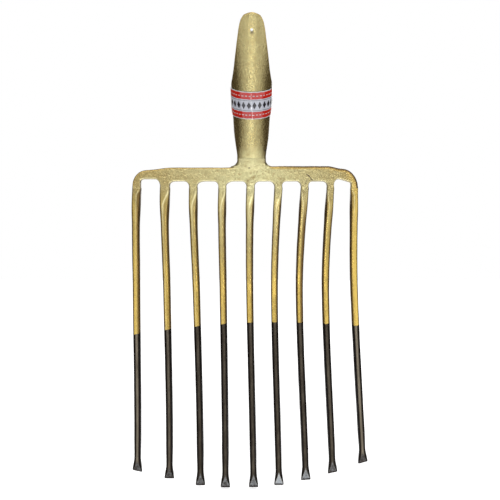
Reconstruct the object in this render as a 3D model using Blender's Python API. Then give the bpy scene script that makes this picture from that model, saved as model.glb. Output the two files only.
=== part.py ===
"""Head of a gravel fork: a rolled handle socket, a forged crossbar, nine bowed tines and a paper band.

Lengths are metres, angles are degrees, and +Z is up. The side that carries the load faces -Y.
The origin is the middle of the flat floor of the socket's bore, where the handle's end sits.
"""

import bpy
import bmesh
from collections import namedtuple
from math import cos, hypot, pi, radians, sin, tan

import numpy as np

# Socket: heights run along its leaning axis, from the bore's floor
SOCKET_LEAN = 27.0
SHOULDER_RADIUS = 0.0208
MOUTH_RADIUS = 0.0232
MOUTH_SIDE_HEIGHT = 0.048
TONGUE_HEIGHT = 0.1312
MOUTH_BACK_HEIGHT = 0.028
SOCKET_WALL = 0.0030
BASE_WALL = 0.0044
BORE_FLOOR_ROUND = 0.0035

# The tongue's edge between its tip and the mouth's side: degrees from the front, and the share of
# the height between the mouth's side and the tongue's tip
TONGUE_EDGE = ((18, 0.97), (25, 0.925), (29.5, 0.865), (37.5, 0.67), (46, 0.465), (57, 0.245), (69, 0.115))

# Open seam up the socket's back: it widens evenly from its foot to the mouth
SEAM_FOOT_HEIGHT = 0.006
SEAM_FOOT_WIDTH = 0.0008
SEAM_MOUTH_WIDTH = 0.0045

# Nail hole through the tongue
NAIL_HOLE_HEIGHT = 0.113
NAIL_HOLE_RADIUS = 0.0022

# Neck between the socket and the crossbar
NECK_LENGTH = 0.0313
NECK_WIDTH = 0.0334
NECK_DEPTH = 0.0180
NECK_SETBACK = 0.0040
NECK_FILLET = 0.0078

# Crossbar: heights run down from the neck's seat, and each end slopes down to a rounded corner
CROSSBAR_TOP_LEFT = 0.0098
CROSSBAR_TOP_RIGHT = 0.0081
CROSSBAR_BOTTOM = 0.0262
END_GAP_RISE = 0.0026
ROOT_DROP = 0.0345
CROSSBAR_THICKNESS = 0.0110
EDGE_ROUND = 0.0022
GAP_CORNER = 0.0058
LEFT_SLOPE_RUN = 0.0290
LEFT_SLOPE_DROP = 0.0027
LEFT_CORNER_WIDTH = 0.0172
LEFT_CORNER_HEIGHT = 0.0180
RIGHT_SLOPE_RUN = 0.0170
RIGHT_SLOPE_DROP = 0.0030
RIGHT_CORNER_WIDTH = 0.0187
RIGHT_CORNER_HEIGHT = 0.0220

# Tines: the span is between the middles of the two end tines, the length is the longest tine's,
# and the root is an even tine's width under the crossbar
TINE_SPAN = 0.2513
TINE_LENGTH = 0.3471
ROOT_WIDTH = 0.0100
LEFT_SHARE = 0.528

# Each tine: its place along the span, its root's width and its length as shares of the sizes above;
# how far its tip stands to the right of the root and its upper third to the left, as shares of its
# length; the slant of its end face; and how far the square bar is twisted below its root
Tine = namedtuple("Tine", "place width length lean sway slant turn")
TINES = (
    Tine(0.0000, 1.00, 0.945, 0.0000, 0.0085, 13, -30),
    Tine(0.1301, 1.18, 0.970, 0.0131, 0.0086, 0, -34),
    Tine(0.2602, 1.02, 0.993, 0.0229, 0.0064, 0, -36),
    Tine(0.3935, 0.95, 1.000, 0.0098, 0.0055, 0, -34),
    Tine(0.5233, 1.01, 0.999, 0.0104, 0.0063, 0, -30),
    Tine(0.6514, 0.96, 0.992, 0.0026, 0.0096, 0, -24),
    Tine(0.7724, 0.93, 0.975, 0.0050, 0.0121, -3, 26),
    Tine(0.8906, 0.86, 0.951, 0.0094, 0.0112, -13, 32),
    Tine(1.0000, 0.86, 0.917, 0.0339, 0.0057, -15, 30),
)
SCOOP_DEPTH = 0.0480
END_SCOOP_DEPTH = 0.0140
DEEPEST_SHARE = 0.37
TIP_SETBACK = 0.0040
ROOT_LENGTH = 0.045
BAR_SIDE = 0.0080
BAR_TIP_SIDE = 0.0070
BAR_ROUND = 0.0024

# Flattened tips; the twist dies out between the two distances from the tip
FLARE_LENGTH = 0.0150
FLARE_WIDTH = 0.0110
FLARE_DEPTH = 0.0042
FLARE_ROUND = 0.0010
UNTWIST_START = 0.0375
UNTWIST_END = 0.0150

# The gold paint ends on a slightly tilted plane: its drop below the roots at X = 0 and at the
# crossbar's middle, and its rise for each metre to the right and to the back
PAINT_DROP = 0.1657
PAINT_RISE_RIGHT = 0.040
PAINT_RISE_BACK = 0.150

# Paper band round the socket
BAND_FOOT_HEIGHT = 0.0152
BAND_WIDTH = 0.0312
BAND_THICKNESS = 0.0003
BAND_GAP = 0.0002
BAND_HALF_ANGLE = 92.0
BAND_BORDER = 0.0010
BAND_STRIPE = 0.0086

# How finely the surfaces are divided
SOCKET_COLUMNS = 26
SOCKET_LOWER_ROWS = 7
SOCKET_UPPER_ROWS = 8
FLOOR_ROUND_STEPS = 3
NAIL_HOLE_POINTS = 20
NECK_POINTS = 28
NECK_ROWS = 9
CORNER_STEPS = 2
ARC_STEPS = 5
SLOPE_SHARES = (0.33, 0.67, 1.0)
ROOT_ROWS = 5
BAR_ROWS = 17
FLARE_SHARES = (0.25, 0.5, 0.75, 0.92, 1.0)
RUN_STEP = 0.002
BAND_COLUMNS = 30

GOLD_PAINT = (0.42, 0.33, 0.12)
BARE_STEEL = (0.055, 0.045, 0.035)
BAND_RED = (0.62, 0.04, 0.03)
BAND_PALE = (0.56, 0.59, 0.64)

LEAN = radians(SOCKET_LEAN)
AXIS = np.array((0.0, -sin(LEAN), cos(LEAN)))
FRONT = np.array((0.0, -cos(LEAN), -sin(LEAN)))
SIDE = np.array((1.0, 0.0, 0.0))
UP = np.array((0.0, 0.0, 1.0))
MOUTH_SLOPE = (MOUTH_RADIUS - SHOULDER_RADIUS) / MOUTH_SIDE_HEIGHT

# The neck's front runs straight on from the front of the socket
SHOULDER_FRONT = SHOULDER_RADIUS * FRONT
FRONT_LINE = (AXIS + MOUTH_SLOPE * FRONT) / hypot(1.0, MOUTH_SLOPE)
NECK_FRONT = SHOULDER_FRONT - NECK_LENGTH * FRONT_LINE
NECK_Z = NECK_FRONT[2]
ROOT_Z = NECK_Z - ROOT_DROP
CROSSBAR_FRONT_Y = NECK_FRONT[1] + NECK_SETBACK
CROSSBAR_MIDDLE_Y = CROSSBAR_FRONT_Y + CROSSBAR_THICKNESS / 2


def mix(low, high, share):
    """A value between low and high."""
    return low + (high - low) * share


def ease(share):
    """A share from 0 to 1 that starts and ends softly."""
    share = min(1.0, max(0.0, share))
    return share * share * (3 - 2 * share)


def clear_scene():
    """Removes every object that the startup scene holds."""
    for old in list(bpy.data.objects):
        bpy.data.objects.remove(old, do_unlink=True)


def make_material(name, colour, roughness, metallic):
    """A Principled material of one colour."""
    material = bpy.data.materials.new(name)
    material.use_nodes = True
    shader = material.node_tree.nodes["Principled BSDF"]
    shader.inputs["Base Color"].default_value = (*colour, 1.0)
    shader.inputs["Roughness"].default_value = roughness
    shader.inputs["Metallic"].default_value = metallic
    material.diffuse_color = (*colour, 1.0)
    return material


def add_object(name, points, faces, materials, sharp_angle=38):
    """An object of the given points and faces, with its faces turned outwards and shaded smooth."""
    mesh = bpy.data.meshes.new(name)
    mesh.from_pydata([tuple(point) for point in points], [], faces)
    shape = bmesh.new()
    shape.from_mesh(mesh)
    bmesh.ops.recalc_face_normals(shape, faces=shape.faces)
    shape.to_mesh(mesh)
    shape.free()
    mesh.shade_smooth()
    mesh.set_sharp_from_angle(angle=radians(sharp_angle))
    for material in materials:
        mesh.materials.append(material)
    made = bpy.data.objects.new(name, mesh)
    bpy.context.collection.objects.link(made)
    return made


def lofted(rings):
    """Points and faces of a closed body through rings of equal count, its two ends flat."""
    count = len(rings[0])
    points = [point for ring in rings for point in ring]
    faces = []
    for start in range(0, (len(rings) - 1) * count, count):
        for k in range(count):
            after = (k + 1) % count
            faces.append((start + k, start + after, start + count + after, start + count + k))
    faces.append(tuple(range(count)))
    faces.append(tuple(range(len(points) - count, len(points))))
    return points, faces


def combine(target, name, operation, rings):
    """Cuts a lofted body out of the target, or joins one to it, with a Boolean."""
    tool = add_object(name, *lofted(rings), [])
    tool.hide_render = True
    tool.display_type = "WIRE"
    step = target.modifiers.new(name, "BOOLEAN")
    step.operation = operation
    step.solver = "EXACT"
    step.object = tool


def socket_radius(height):
    """The socket's outer radius at a height above its shoulder, which is level with the bore's floor."""
    return SHOULDER_RADIUS + MOUTH_SLOPE * height


def bore_radius(height):
    """The bore's radius, with a thicker wall near its floor."""
    return socket_radius(height) - mix(BASE_WALL, SOCKET_WALL, ease(height / MOUTH_BACK_HEIGHT))


def rim_height(angle):
    """Height of the mouth's rim at an angle in degrees from the front."""
    knots = [(0, TONGUE_HEIGHT)]
    knots += [(turn, mix(MOUTH_SIDE_HEIGHT, TONGUE_HEIGHT, share)) for turn, share in TONGUE_EDGE]
    knots += [(90, MOUTH_SIDE_HEIGHT), (180, MOUTH_BACK_HEIGHT)]
    turns, heights = zip(*knots)
    slopes = [0.0]
    for k in range(1, len(knots) - 1):
        before = (heights[k] - heights[k - 1]) / (turns[k] - turns[k - 1])
        after = (heights[k + 1] - heights[k]) / (turns[k + 1] - turns[k])
        slopes.append(2 * before * after / (before + after))
    slopes.append(0.0)
    k = min(len(knots) - 2, max(0, int(np.searchsorted(turns, angle, side="right")) - 1))
    span = turns[k + 1] - turns[k]
    t = (angle - turns[k]) / span
    return (
        (1 + 2 * t) * (1 - t) ** 2 * heights[k]
        + t * (1 - t) ** 2 * span * slopes[k]
        + t * t * (3 - 2 * t) * heights[k + 1]
        - t * t * (1 - t) * span * slopes[k + 1]
    )


def rim_angles():
    """Angles of the socket's columns, evenly spaced along the mouth's rim, in a full turn."""
    fine = np.linspace(0, 180, 361)
    heights = np.array([rim_height(angle) for angle in fine])
    round_step = socket_radius(MOUTH_SIDE_HEIGHT) * np.radians(np.diff(fine))
    length = np.concatenate([[0], np.cumsum(np.hypot(round_step, np.diff(heights)))])
    half = np.interp(np.linspace(0, length[-1], SOCKET_COLUMNS + 1), length, fine)
    return list(half) + [-angle for angle in half[-2:0:-1]]


def socket_point(height, angle, radius):
    """A point round the socket's axis, its angle in degrees from the front."""
    turn = radians(angle)
    return height * AXIS + radius * (cos(turn) * FRONT + sin(turn) * SIDE)


def neck_section(share, angles):
    """A section between the neck's seat, at share 0, and the socket's shoulder, at share 1."""
    front = mix(NECK_FRONT, SHOULDER_FRONT, share)
    tilt = LEAN * ease(share)
    outward = np.array((0.0, -cos(tilt), -sin(tilt)))
    half_width = mix(NECK_WIDTH / 2, SHOULDER_RADIUS, ease(share))
    half_depth = mix(NECK_DEPTH / 2, SHOULDER_RADIUS, ease(share))
    middle = front - half_depth * outward
    return [
        middle + half_depth * cos(radians(angle)) * outward + half_width * sin(radians(angle)) * SIDE
        for angle in angles
    ]


def cut_nail_hole(socket):
    """Cuts the round nail hole square through the tongue."""
    rings = []
    for depth in (-2 * SOCKET_WALL, 2 * SOCKET_WALL):
        middle = socket_point(NAIL_HOLE_HEIGHT, 0, socket_radius(NAIL_HOLE_HEIGHT) + depth)
        turns = [2 * pi * k / NAIL_HOLE_POINTS for k in range(NAIL_HOLE_POINTS)]
        rings.append([middle + NAIL_HOLE_RADIUS * (cos(t) * SIDE + sin(t) * AXIS) for t in turns])
    combine(socket, "nail_hole_cutter", "DIFFERENCE", rings)


def cut_seam(socket):
    """Cuts the open seam up the back, where the rolled sheet's edges meet."""
    top = 2 * MOUTH_BACK_HEIGHT - SEAM_FOOT_HEIGHT
    foot_half = SEAM_FOOT_WIDTH / 2
    top_half = SEAM_MOUTH_WIDTH - foot_half
    outline = (
        (SEAM_FOOT_HEIGHT, -foot_half),
        (SEAM_FOOT_HEIGHT, foot_half),
        (top, top_half),
        (top, -top_half),
    )
    rings = []
    for depth in (socket_radius(0) - 2 * BASE_WALL, socket_radius(MOUTH_BACK_HEIGHT) + SOCKET_WALL):
        rings.append([height * AXIS - depth * FRONT + x * SIDE for height, x in outline])
    combine(socket, "seam_cutter", "DIFFERENCE", rings)


def make_socket(paint):
    """The rolled socket with its long front tongue, open seam, nail hole and solid neck."""
    angles = rim_angles()
    rings = [neck_section(row / SOCKET_LOWER_ROWS, angles) for row in range(SOCKET_LOWER_ROWS)]
    for row in range(SOCKET_UPPER_ROWS + 1):
        heights = [rim_height(abs(angle)) * row / SOCKET_UPPER_ROWS for angle in angles]
        rings.append([socket_point(h, a, socket_radius(h)) for h, a in zip(heights, angles)])
    for row in reversed(range(SOCKET_UPPER_ROWS + 1)):
        share = row / SOCKET_UPPER_ROWS
        heights = [mix(BORE_FLOOR_ROUND, rim_height(abs(angle)), share) for angle in angles]
        rings.append([socket_point(h, a, bore_radius(h)) for h, a in zip(heights, angles)])
    for step in range(1, FLOOR_ROUND_STEPS + 1):
        turn = pi / 2 * step / FLOOR_ROUND_STEPS
        height = BORE_FLOOR_ROUND * (1 - sin(turn))
        radius = bore_radius(BORE_FLOOR_ROUND) - BORE_FLOOR_ROUND * (1 - cos(turn))
        rings.append([socket_point(height, angle, radius) for angle in angles])
    socket = add_object("socket", *lofted(rings), [paint])
    cut_nail_hole(socket)
    cut_seam(socket)


def root_x(tine):
    """Middle of a tine's root along X."""
    return TINE_SPAN * (tine.place - LEFT_SHARE)


def root_sides(tine):
    """Left and right side of a tine's root along X."""
    half = ROOT_WIDTH * tine.width / 2
    return root_x(tine) - half, root_x(tine) + half


def arc(middle, half_width, half_height, start, end):
    """Points of an elliptical arc in the front view, from start to end in degrees."""
    turns = [radians(mix(start, end, k / ARC_STEPS)) for k in range(ARC_STEPS + 1)]
    return [(middle[0] + half_width * cos(t), middle[1] + half_height * sin(t)) for t in turns]


def end_outline(edge_x, top, corner, slope):
    """Outline of one of the crossbar's ends, from the foot of its rounded corner to its level top.

    The corner's width and the slope's run are positive towards the right.
    """
    corner_width, corner_height = corner
    slope_run, slope_drop = slope
    shoulder_x = edge_x + corner_width
    shoulder = top - slope_drop
    points = arc((shoulder_x, shoulder - corner_height), -corner_width, corner_height, 0, 90)
    for share in SLOPE_SHARES:
        points.append((shoulder_x + slope_run * share, mix(shoulder, top, ease(share))))
    return points


def crossbar_outline():
    """Front outline of the crossbar with its tine roots, and the indices of the roots' corners."""
    outline = []
    root_corners = set()
    for k, tine in enumerate(TINES):
        left, right = root_sides(tine)
        root_corners.update((len(outline), len(outline) + 1))
        outline += [(left, ROOT_Z), (right, ROOT_Z)]
        if k == len(TINES) - 1:
            break
        next_left = root_sides(TINES[k + 1])[0]
        rise = END_GAP_RISE if k in (0, len(TINES) - 2) else 0.0
        middle_z = NECK_Z - CROSSBAR_BOTTOM + rise - GAP_CORNER
        outline += arc((right + GAP_CORNER, middle_z), GAP_CORNER, GAP_CORNER, 180, 90)
        outline += arc((next_left - GAP_CORNER, middle_z), GAP_CORNER, GAP_CORNER, 90, 0)
    right_top = NECK_Z - CROSSBAR_TOP_RIGHT
    left_top = NECK_Z - CROSSBAR_TOP_LEFT
    corner = (-RIGHT_CORNER_WIDTH, RIGHT_CORNER_HEIGHT)
    slope = (-RIGHT_SLOPE_RUN, RIGHT_SLOPE_DROP)
    outline += end_outline(root_sides(TINES[-1])[1], right_top, corner, slope)
    outline += [(NECK_WIDTH, right_top), (-NECK_WIDTH, left_top)]
    corner = (LEFT_CORNER_WIDTH, LEFT_CORNER_HEIGHT)
    slope = (LEFT_SLOPE_RUN, LEFT_SLOPE_DROP)
    outline += end_outline(root_sides(TINES[0])[0], left_top, corner, slope)[::-1]
    return outline, root_corners


def inset_outline(outline, root_corners, depth):
    """The outline moved inwards by depth, with the roots' ends kept on their seats."""
    moved = []
    count = len(outline)
    for k, (x, z) in enumerate(outline):
        before, after = outline[k - 1], outline[(k + 1) % count]
        if k in root_corners:
            inward = depth if after[1] == z else -depth
            moved.append((x + inward, z))
            continue
        run = (after[0] - before[0], after[1] - before[1])
        size = hypot(*run)
        moved.append((x - depth * run[1] / size, z + depth * run[0] / size))
    return moved


def neck_rings():
    """Sections of the crossbar's neck, from its seat down into the bar, with a fillet at its sides."""
    seat_y = NECK_FRONT[1] + NECK_DEPTH / 2
    foot = CROSSBAR_BOTTOM - END_GAP_RISE * 2
    foot_half_depth = CROSSBAR_THICKNESS / 2 - EDGE_ROUND / 4
    rings = []
    for row in range(NECK_ROWS + 1):
        drop = foot * row / NECK_ROWS
        climb = min(1.0, max(0.0, 1 - (CROSSBAR_TOP_RIGHT - drop) / NECK_FILLET))
        half_width = NECK_WIDTH / 2 + NECK_FILLET * (1 - (1 - climb * climb) ** 0.5)
        share = ease(drop / foot)
        half_depth = mix(NECK_DEPTH / 2, foot_half_depth, share)
        middle_y = mix(seat_y, CROSSBAR_MIDDLE_Y, share)
        turns = [2 * pi * k / NECK_POINTS for k in range(NECK_POINTS)]
        rings.append([(half_width * cos(t), middle_y + half_depth * sin(t), NECK_Z - drop) for t in turns])
    return rings


def make_crossbar(paint):
    """The forged crossbar: a thick plate with rounded edges, tine roots below and the neck above."""
    outline, root_corners = crossbar_outline()
    turns = [pi / 2 * k / CORNER_STEPS for k in range(CORNER_STEPS + 1)]
    edge = [(EDGE_ROUND * (1 - sin(turn)), EDGE_ROUND * (1 - cos(turn))) for turn in turns]
    layers = edge + [(inset, CROSSBAR_THICKNESS - depth) for inset, depth in reversed(edge)]
    rings = []
    for inset, depth in layers:
        moved = inset_outline(outline, root_corners, inset)
        rings.append([(x, CROSSBAR_FRONT_Y + depth, z) for x, z in moved])
    crossbar = add_object("crossbar", *lofted(rings), [paint])
    combine(crossbar, "neck_blank", "UNION", neck_rings())


def bow(share):
    """The tines' bow along their length: 0 at the root and the tip, 1 at its deepest."""
    if share < DEEPEST_SHARE:
        return ease(share / DEEPEST_SHARE)
    return 1 - ((share - DEEPEST_SHARE) / (1 - DEEPEST_SHARE)) ** 2


def sideways(share):
    """The tines' sideways bend along their length: 1 a third of the way down, 0 at both ends."""
    return 6.75 * share * (1 - share) ** 2


def scoop_depth(index):
    """How far a tine bows back: the middle ones most, so that the fork is dished."""
    offset = 2 * index / (len(TINES) - 1) - 1
    return mix(SCOOP_DEPTH, END_SCOOP_DEPTH, offset * offset)


def tine_length(tine):
    """Drop from a tine's root to its tip."""
    return TINE_LENGTH * tine.length


def tine_middle(tine, depth, share):
    """Middle of a tine's section, from the middle of its root."""
    x = tine_length(tine) * (tine.lean * share - tine.sway * sideways(share))
    return np.array((x, depth * bow(share) + TIP_SETBACK * share, -tine_length(tine) * share))


def tine_directions(tine, depth, share):
    """Unit vectors across a tine and to its back, square to its run at a share of its length."""
    run = -UP
    if share > 0:
        low, high = share - RUN_STEP, min(1.0, share + RUN_STEP)
        run = tine_middle(tine, depth, high) - tine_middle(tine, depth, low)
        run /= np.linalg.norm(run)
    across = SIDE - run * run[0]
    across /= np.linalg.norm(across)
    return across, np.cross(across, run)


def tine_shares(tine):
    """Shares of a tine's length where its sections lie: close at the root and the tip, wider between."""
    root_end = ROOT_LENGTH / tine_length(tine)
    tip_start = 1 - FLARE_LENGTH / tine_length(tine)
    near_root = [root_end * k / ROOT_ROWS for k in range(ROOT_ROWS)]
    between = [mix(root_end, tip_start, k / BAR_ROWS) for k in range(BAR_ROWS + 1)]
    flare = [mix(tip_start, 1.0, share) for share in FLARE_SHARES]
    return near_root + between + flare


def rounded_section(half_width, half_depth, corner):
    """Points round a rectangle with rounded corners, from the front left corner."""
    points = []
    for x_side, y_side, start in ((-1, -1, 180), (1, -1, 270), (1, 1, 0), (-1, 1, 90)):
        for k in range(CORNER_STEPS + 1):
            turn = radians(start + 90 * k / CORNER_STEPS)
            x = x_side * (half_width - corner) + corner * cos(turn)
            y = y_side * (half_depth - corner) + corner * sin(turn)
            points.append((x, y))
    return points


def tine_section(tine, depth, share):
    """One section of a tine: a rectangle at the root, a twisted square bar, then a flattened tip."""
    distance = share * tine_length(tine)
    to_tip = tine_length(tine) - distance
    settle = ease(distance / ROOT_LENGTH)
    flare = ease(1 - to_tip / FLARE_LENGTH)
    flatten = max(0.0, 1 - to_tip / FLARE_LENGTH)
    half_side = mix(BAR_SIDE, BAR_TIP_SIDE, share) / 2
    half_width = mix(mix(ROOT_WIDTH * tine.width / 2, half_side, settle), FLARE_WIDTH / 2, flare)
    half_depth = mix(mix(CROSSBAR_THICKNESS / 2, half_side, settle), FLARE_DEPTH / 2, flatten)
    corner = mix(mix(EDGE_ROUND, BAR_ROUND, settle), FLARE_ROUND, flare)
    twist = ease((to_tip - UNTWIST_END) / (UNTWIST_START - UNTWIST_END))
    turn = radians(tine.turn) * settle * twist
    slope = tan(radians(tine.slant)) * flare

    middle = tine_middle(tine, depth, share)
    across, back = tine_directions(tine, depth, share)
    ring = []
    for x, y in rounded_section(half_width, half_depth, corner):
        turned_x = x * cos(turn) - y * sin(turn)
        turned_y = x * sin(turn) + y * cos(turn)
        ring.append(middle + turned_x * across + turned_y * back - slope * turned_x * UP)
    return ring


def make_tine(index, tine, materials):
    """One tine: a square bar that bows back, twists below its root and ends in a flattened tip."""
    depth = scoop_depth(index)
    rings = [tine_section(tine, depth, share) for share in tine_shares(tine)]
    made = add_object(f"tine_{index + 1}", *lofted(rings), materials)
    made.location = (root_x(tine), CROSSBAR_MIDDLE_Y, ROOT_Z)
    for face in made.data.polygons:
        x, y, z = face.center
        painted = z > PAINT_RISE_RIGHT * (root_x(tine) + x) + PAINT_RISE_BACK * y - PAINT_DROP
        face.material_index = 0 if painted else 1


def make_band(materials):
    """The paper band: a thin shell round the front of the socket, with two stripes."""
    angles = [mix(-BAND_HALF_ANGLE, BAND_HALF_ANGLE, k / BAND_COLUMNS) for k in range(BAND_COLUMNS + 1)]
    edges = (0, BAND_BORDER, BAND_STRIPE, BAND_WIDTH - BAND_STRIPE, BAND_WIDTH - BAND_BORDER, BAND_WIDTH)
    heights = [BAND_FOOT_HEIGHT + edge for edge in edges]
    points = []
    for clearance in (BAND_GAP, BAND_GAP + BAND_THICKNESS):
        for height in heights:
            points += [socket_point(height, angle, socket_radius(height) + clearance) for angle in angles]
    count = len(angles)
    sheet = len(heights) * count
    last_row = sheet - count
    faces = []
    for start in range(0, last_row, count):
        for near in range(start, start + BAND_COLUMNS):
            far = near + sheet
            faces.append((near, near + 1, near + count + 1, near + count))
            faces.append((far, far + count, far + count + 1, far + 1))
        for edge in (start, start + BAND_COLUMNS):
            faces.append((edge, edge + count, edge + sheet + count, edge + sheet))
    for k in range(BAND_COLUMNS):
        for edge in (k, last_row + k):
            faces.append((edge, edge + 1, edge + sheet + 1, edge + sheet))
    band = add_object("label_band", points, faces, materials)
    for face in band.data.polygons:
        height = float(np.dot(face.center, AXIS)) - BAND_FOOT_HEIGHT
        from_edge = min(height, BAND_WIDTH - height)
        face.material_index = 1 if BAND_BORDER < from_edge < BAND_STRIPE else 0


def main():
    """Builds every piece under one empty."""
    clear_scene()
    socket_paint = make_material("socket_gold_paint", GOLD_PAINT, 0.42, 0.75)
    crossbar_paint = make_material("crossbar_gold_paint", GOLD_PAINT, 0.45, 0.75)
    tine_paint = make_material("tine_gold_paint", GOLD_PAINT, 0.40, 0.75)
    tine_steel = make_material("tine_bare_steel", BARE_STEEL, 0.45, 0.85)
    band_pale = make_material("band_pale_paper", BAND_PALE, 0.5, 0.0)
    band_red = make_material("band_red_paper", BAND_RED, 0.5, 0.0)

    make_socket(socket_paint)
    make_crossbar(crossbar_paint)
    for index, tine in enumerate(TINES):
        make_tine(index, tine, [tine_paint, tine_steel])
    make_band([band_pale, band_red])

    head = bpy.data.objects.new("fork_head", None)
    for made in bpy.data.objects:
        if made is not head:
            made.parent = head
    bpy.context.collection.objects.link(head)


main()
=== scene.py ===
"""Looks of a gravel fork head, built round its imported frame.

Lengths are metres and +Z is up. The load side faces -Y, and the origin is the middle of the flat
floor of the socket's bore. Each piece is a dense, forged-looking mesh that stands for one node.
"""

import logging
from dataclasses import dataclass
from enum import Enum
from math import cos, hypot, pi, radians, sin, tan
from typing import Callable, Iterable, Sequence, Union

import bmesh
import bpy
import numpy as np
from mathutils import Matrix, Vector


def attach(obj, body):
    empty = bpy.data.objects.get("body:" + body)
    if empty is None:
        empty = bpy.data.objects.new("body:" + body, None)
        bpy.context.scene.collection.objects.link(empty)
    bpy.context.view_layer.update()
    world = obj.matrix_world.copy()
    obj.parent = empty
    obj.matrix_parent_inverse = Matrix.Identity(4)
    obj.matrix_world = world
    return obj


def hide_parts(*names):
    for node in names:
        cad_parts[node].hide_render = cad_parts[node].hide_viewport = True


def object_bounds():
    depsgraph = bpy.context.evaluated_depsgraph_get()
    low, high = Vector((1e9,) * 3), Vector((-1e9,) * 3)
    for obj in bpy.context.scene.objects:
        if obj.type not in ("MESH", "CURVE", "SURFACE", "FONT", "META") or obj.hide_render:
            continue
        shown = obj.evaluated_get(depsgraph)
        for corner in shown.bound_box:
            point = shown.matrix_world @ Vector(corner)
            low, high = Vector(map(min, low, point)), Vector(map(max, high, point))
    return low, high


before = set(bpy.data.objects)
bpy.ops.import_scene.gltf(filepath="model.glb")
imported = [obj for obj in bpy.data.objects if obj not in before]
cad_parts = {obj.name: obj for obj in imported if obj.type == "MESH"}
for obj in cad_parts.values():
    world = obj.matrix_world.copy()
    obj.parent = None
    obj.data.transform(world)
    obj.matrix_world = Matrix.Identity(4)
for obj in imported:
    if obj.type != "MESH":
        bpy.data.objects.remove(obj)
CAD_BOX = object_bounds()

LOG = logging.getLogger("gravel_fork")
Number = Union[float, "Formula"]
Outline = list[tuple[float, float]]
Point = Sequence[float]
Plug = bpy.types.NodeSocket
Tree = bpy.types.NodeTree
SIDEWAYS = np.array((1.0, 0.0, 0.0))
DARK_SCAR_DEPTH = 0.0006


# Shared sizes


class Part(Enum):
    """The three kinds of finish of the fork's nodes."""

    GOLD = "gold_paint"
    TINE = "tine_finish"
    LABEL = "paper_label"


def mix(low: float, high: float, share: float) -> float:
    """A value between low and high."""
    return low + (high - low) * share


def ease(share: float) -> float:
    """A share from 0 to 1 that starts and ends softly."""
    share = min(1.0, max(0.0, share))
    return share * share * (3 - 2 * share)


@dataclass(frozen=True)
class ForkPlan:
    """Sizes that the socket, the crossbar and the tines share."""

    socket_lean: float = radians(27.0)
    shoulder_radius: float = 0.0208
    mouth_radius: float = 0.0232
    mouth_side_height: float = 0.048
    neck_length: float = 0.0313
    neck_width: float = 0.0334
    neck_depth: float = 0.0180
    neck_setback: float = 0.0040
    root_drop: float = 0.0345
    crossbar_thickness: float = 0.0110
    tine_span: float = 0.2513
    tine_length: float = 0.3471
    root_width: float = 0.0100
    left_share: float = 0.528

    @property
    def axis(self) -> np.ndarray:
        """The socket's leaning axis."""
        return np.array((0.0, -sin(self.socket_lean), cos(self.socket_lean)))

    @property
    def front(self) -> np.ndarray:
        """Straight out of the socket's front."""
        return np.array((0.0, -cos(self.socket_lean), -sin(self.socket_lean)))

    @property
    def mouth_slope(self) -> float:
        """How much the socket's radius grows for each metre of height."""
        return (self.mouth_radius - self.shoulder_radius) / self.mouth_side_height

    @property
    def neck_front(self) -> np.ndarray:
        """Front of the neck's seat on the crossbar."""
        line = (self.axis + self.mouth_slope * self.front) / hypot(1.0, self.mouth_slope)
        return self.shoulder_radius * self.front - self.neck_length * line

    @property
    def neck_z(self) -> float:
        """Height of the joint between the socket's neck and the crossbar."""
        return float(self.neck_front[2])

    @property
    def root_z(self) -> float:
        """Height of the joints between the crossbar and the tines."""
        return self.neck_z - self.root_drop

    @property
    def crossbar_front_y(self) -> float:
        """The crossbar's front face."""
        return float(self.neck_front[1]) + self.neck_setback

    @property
    def crossbar_middle_y(self) -> float:
        """The middle of the crossbar's thickness."""
        return self.crossbar_front_y + self.crossbar_thickness / 2

    def photo_point(self, column: float, row: float) -> tuple[float, float]:
        """X and Z of a spot on the crossbar's front from its column and row in a 500 pixel view.

        Args:
            column: The spot's column, from the left.
            row: The spot's row, from the top.

        Returns:
            The spot's X and Z in metres.
        """
        pixel = Studio.distance / Studio.focal_pixels
        middle = Studio.image_size / 2
        return Studio.camera_x + (column - middle) * pixel, Studio.camera_z - (row - middle) * pixel


@dataclass(frozen=True)
class TineSize:
    """One tine's own sizes, as shares of the shared ones, with its angles in degrees."""

    place: float
    width: float
    length: float
    lean: float
    sway: float
    slant: float
    turn: float
    # How bright each tine's ground tip is painted: a painted reflection that differs from tine to tine.
    painted_reflection: float
    # How strong the painted highlight down the middle of each tine's steel is.
    painted_glint: float


TINES = (
    TineSize(0.0000, 1.00, 0.945, 0.0000, 0.0085, 13, -30, 0.08, 0.85),
    TineSize(0.1301, 1.18, 0.970, 0.0131, 0.0086, 0, -34, 0.08, 0.35),
    TineSize(0.2602, 1.02, 0.993, 0.0229, 0.0064, 0, -36, 0.17, 0.05),
    TineSize(0.3935, 0.95, 1.000, 0.0098, 0.0055, 0, -34, 0.21, 0.05),
    TineSize(0.5233, 1.01, 0.999, 0.0104, 0.0063, 0, -30, 0.33, 0.10),
    TineSize(0.6514, 0.96, 0.992, 0.0026, 0.0096, 0, -24, 0.85, 0.05),
    TineSize(0.7724, 0.93, 0.975, 0.0050, 0.0121, -3, 26, 0.48, 0.10),
    TineSize(0.8906, 0.86, 0.951, 0.0094, 0.0112, -13, 32, 0.16, 0.20),
    TineSize(1.0000, 0.86, 0.917, 0.0339, 0.0057, -15, 30, 0.04, 0.95),
)


@dataclass(frozen=True)
class GapShape:
    """Corners of one gap between tines, each as width and height, and how far its top slopes."""

    left: tuple[float, float]
    right: tuple[float, float]
    slope: float = 0.0


GAPS = (
    GapShape((0.0030, 0.0024), (0.0058, 0.0078)),
    GapShape((0.0060, 0.0036), (0.0060, 0.0070)),
    GapShape((0.0086, 0.0046), (0.0046, 0.0070)),
    GapShape((0.0086, 0.0056), (0.0046, 0.0058)),
    GapShape((0.0058, 0.0058), (0.0056, 0.0068)),
    GapShape((0.0043, 0.0042), (0.0048, 0.0068)),
    GapShape((0.0041, 0.0050), (0.0046, 0.0050)),
    GapShape((0.0056, 0.0066), (0.0015, 0.0016), 0.0034),
)


# Node trees


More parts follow.
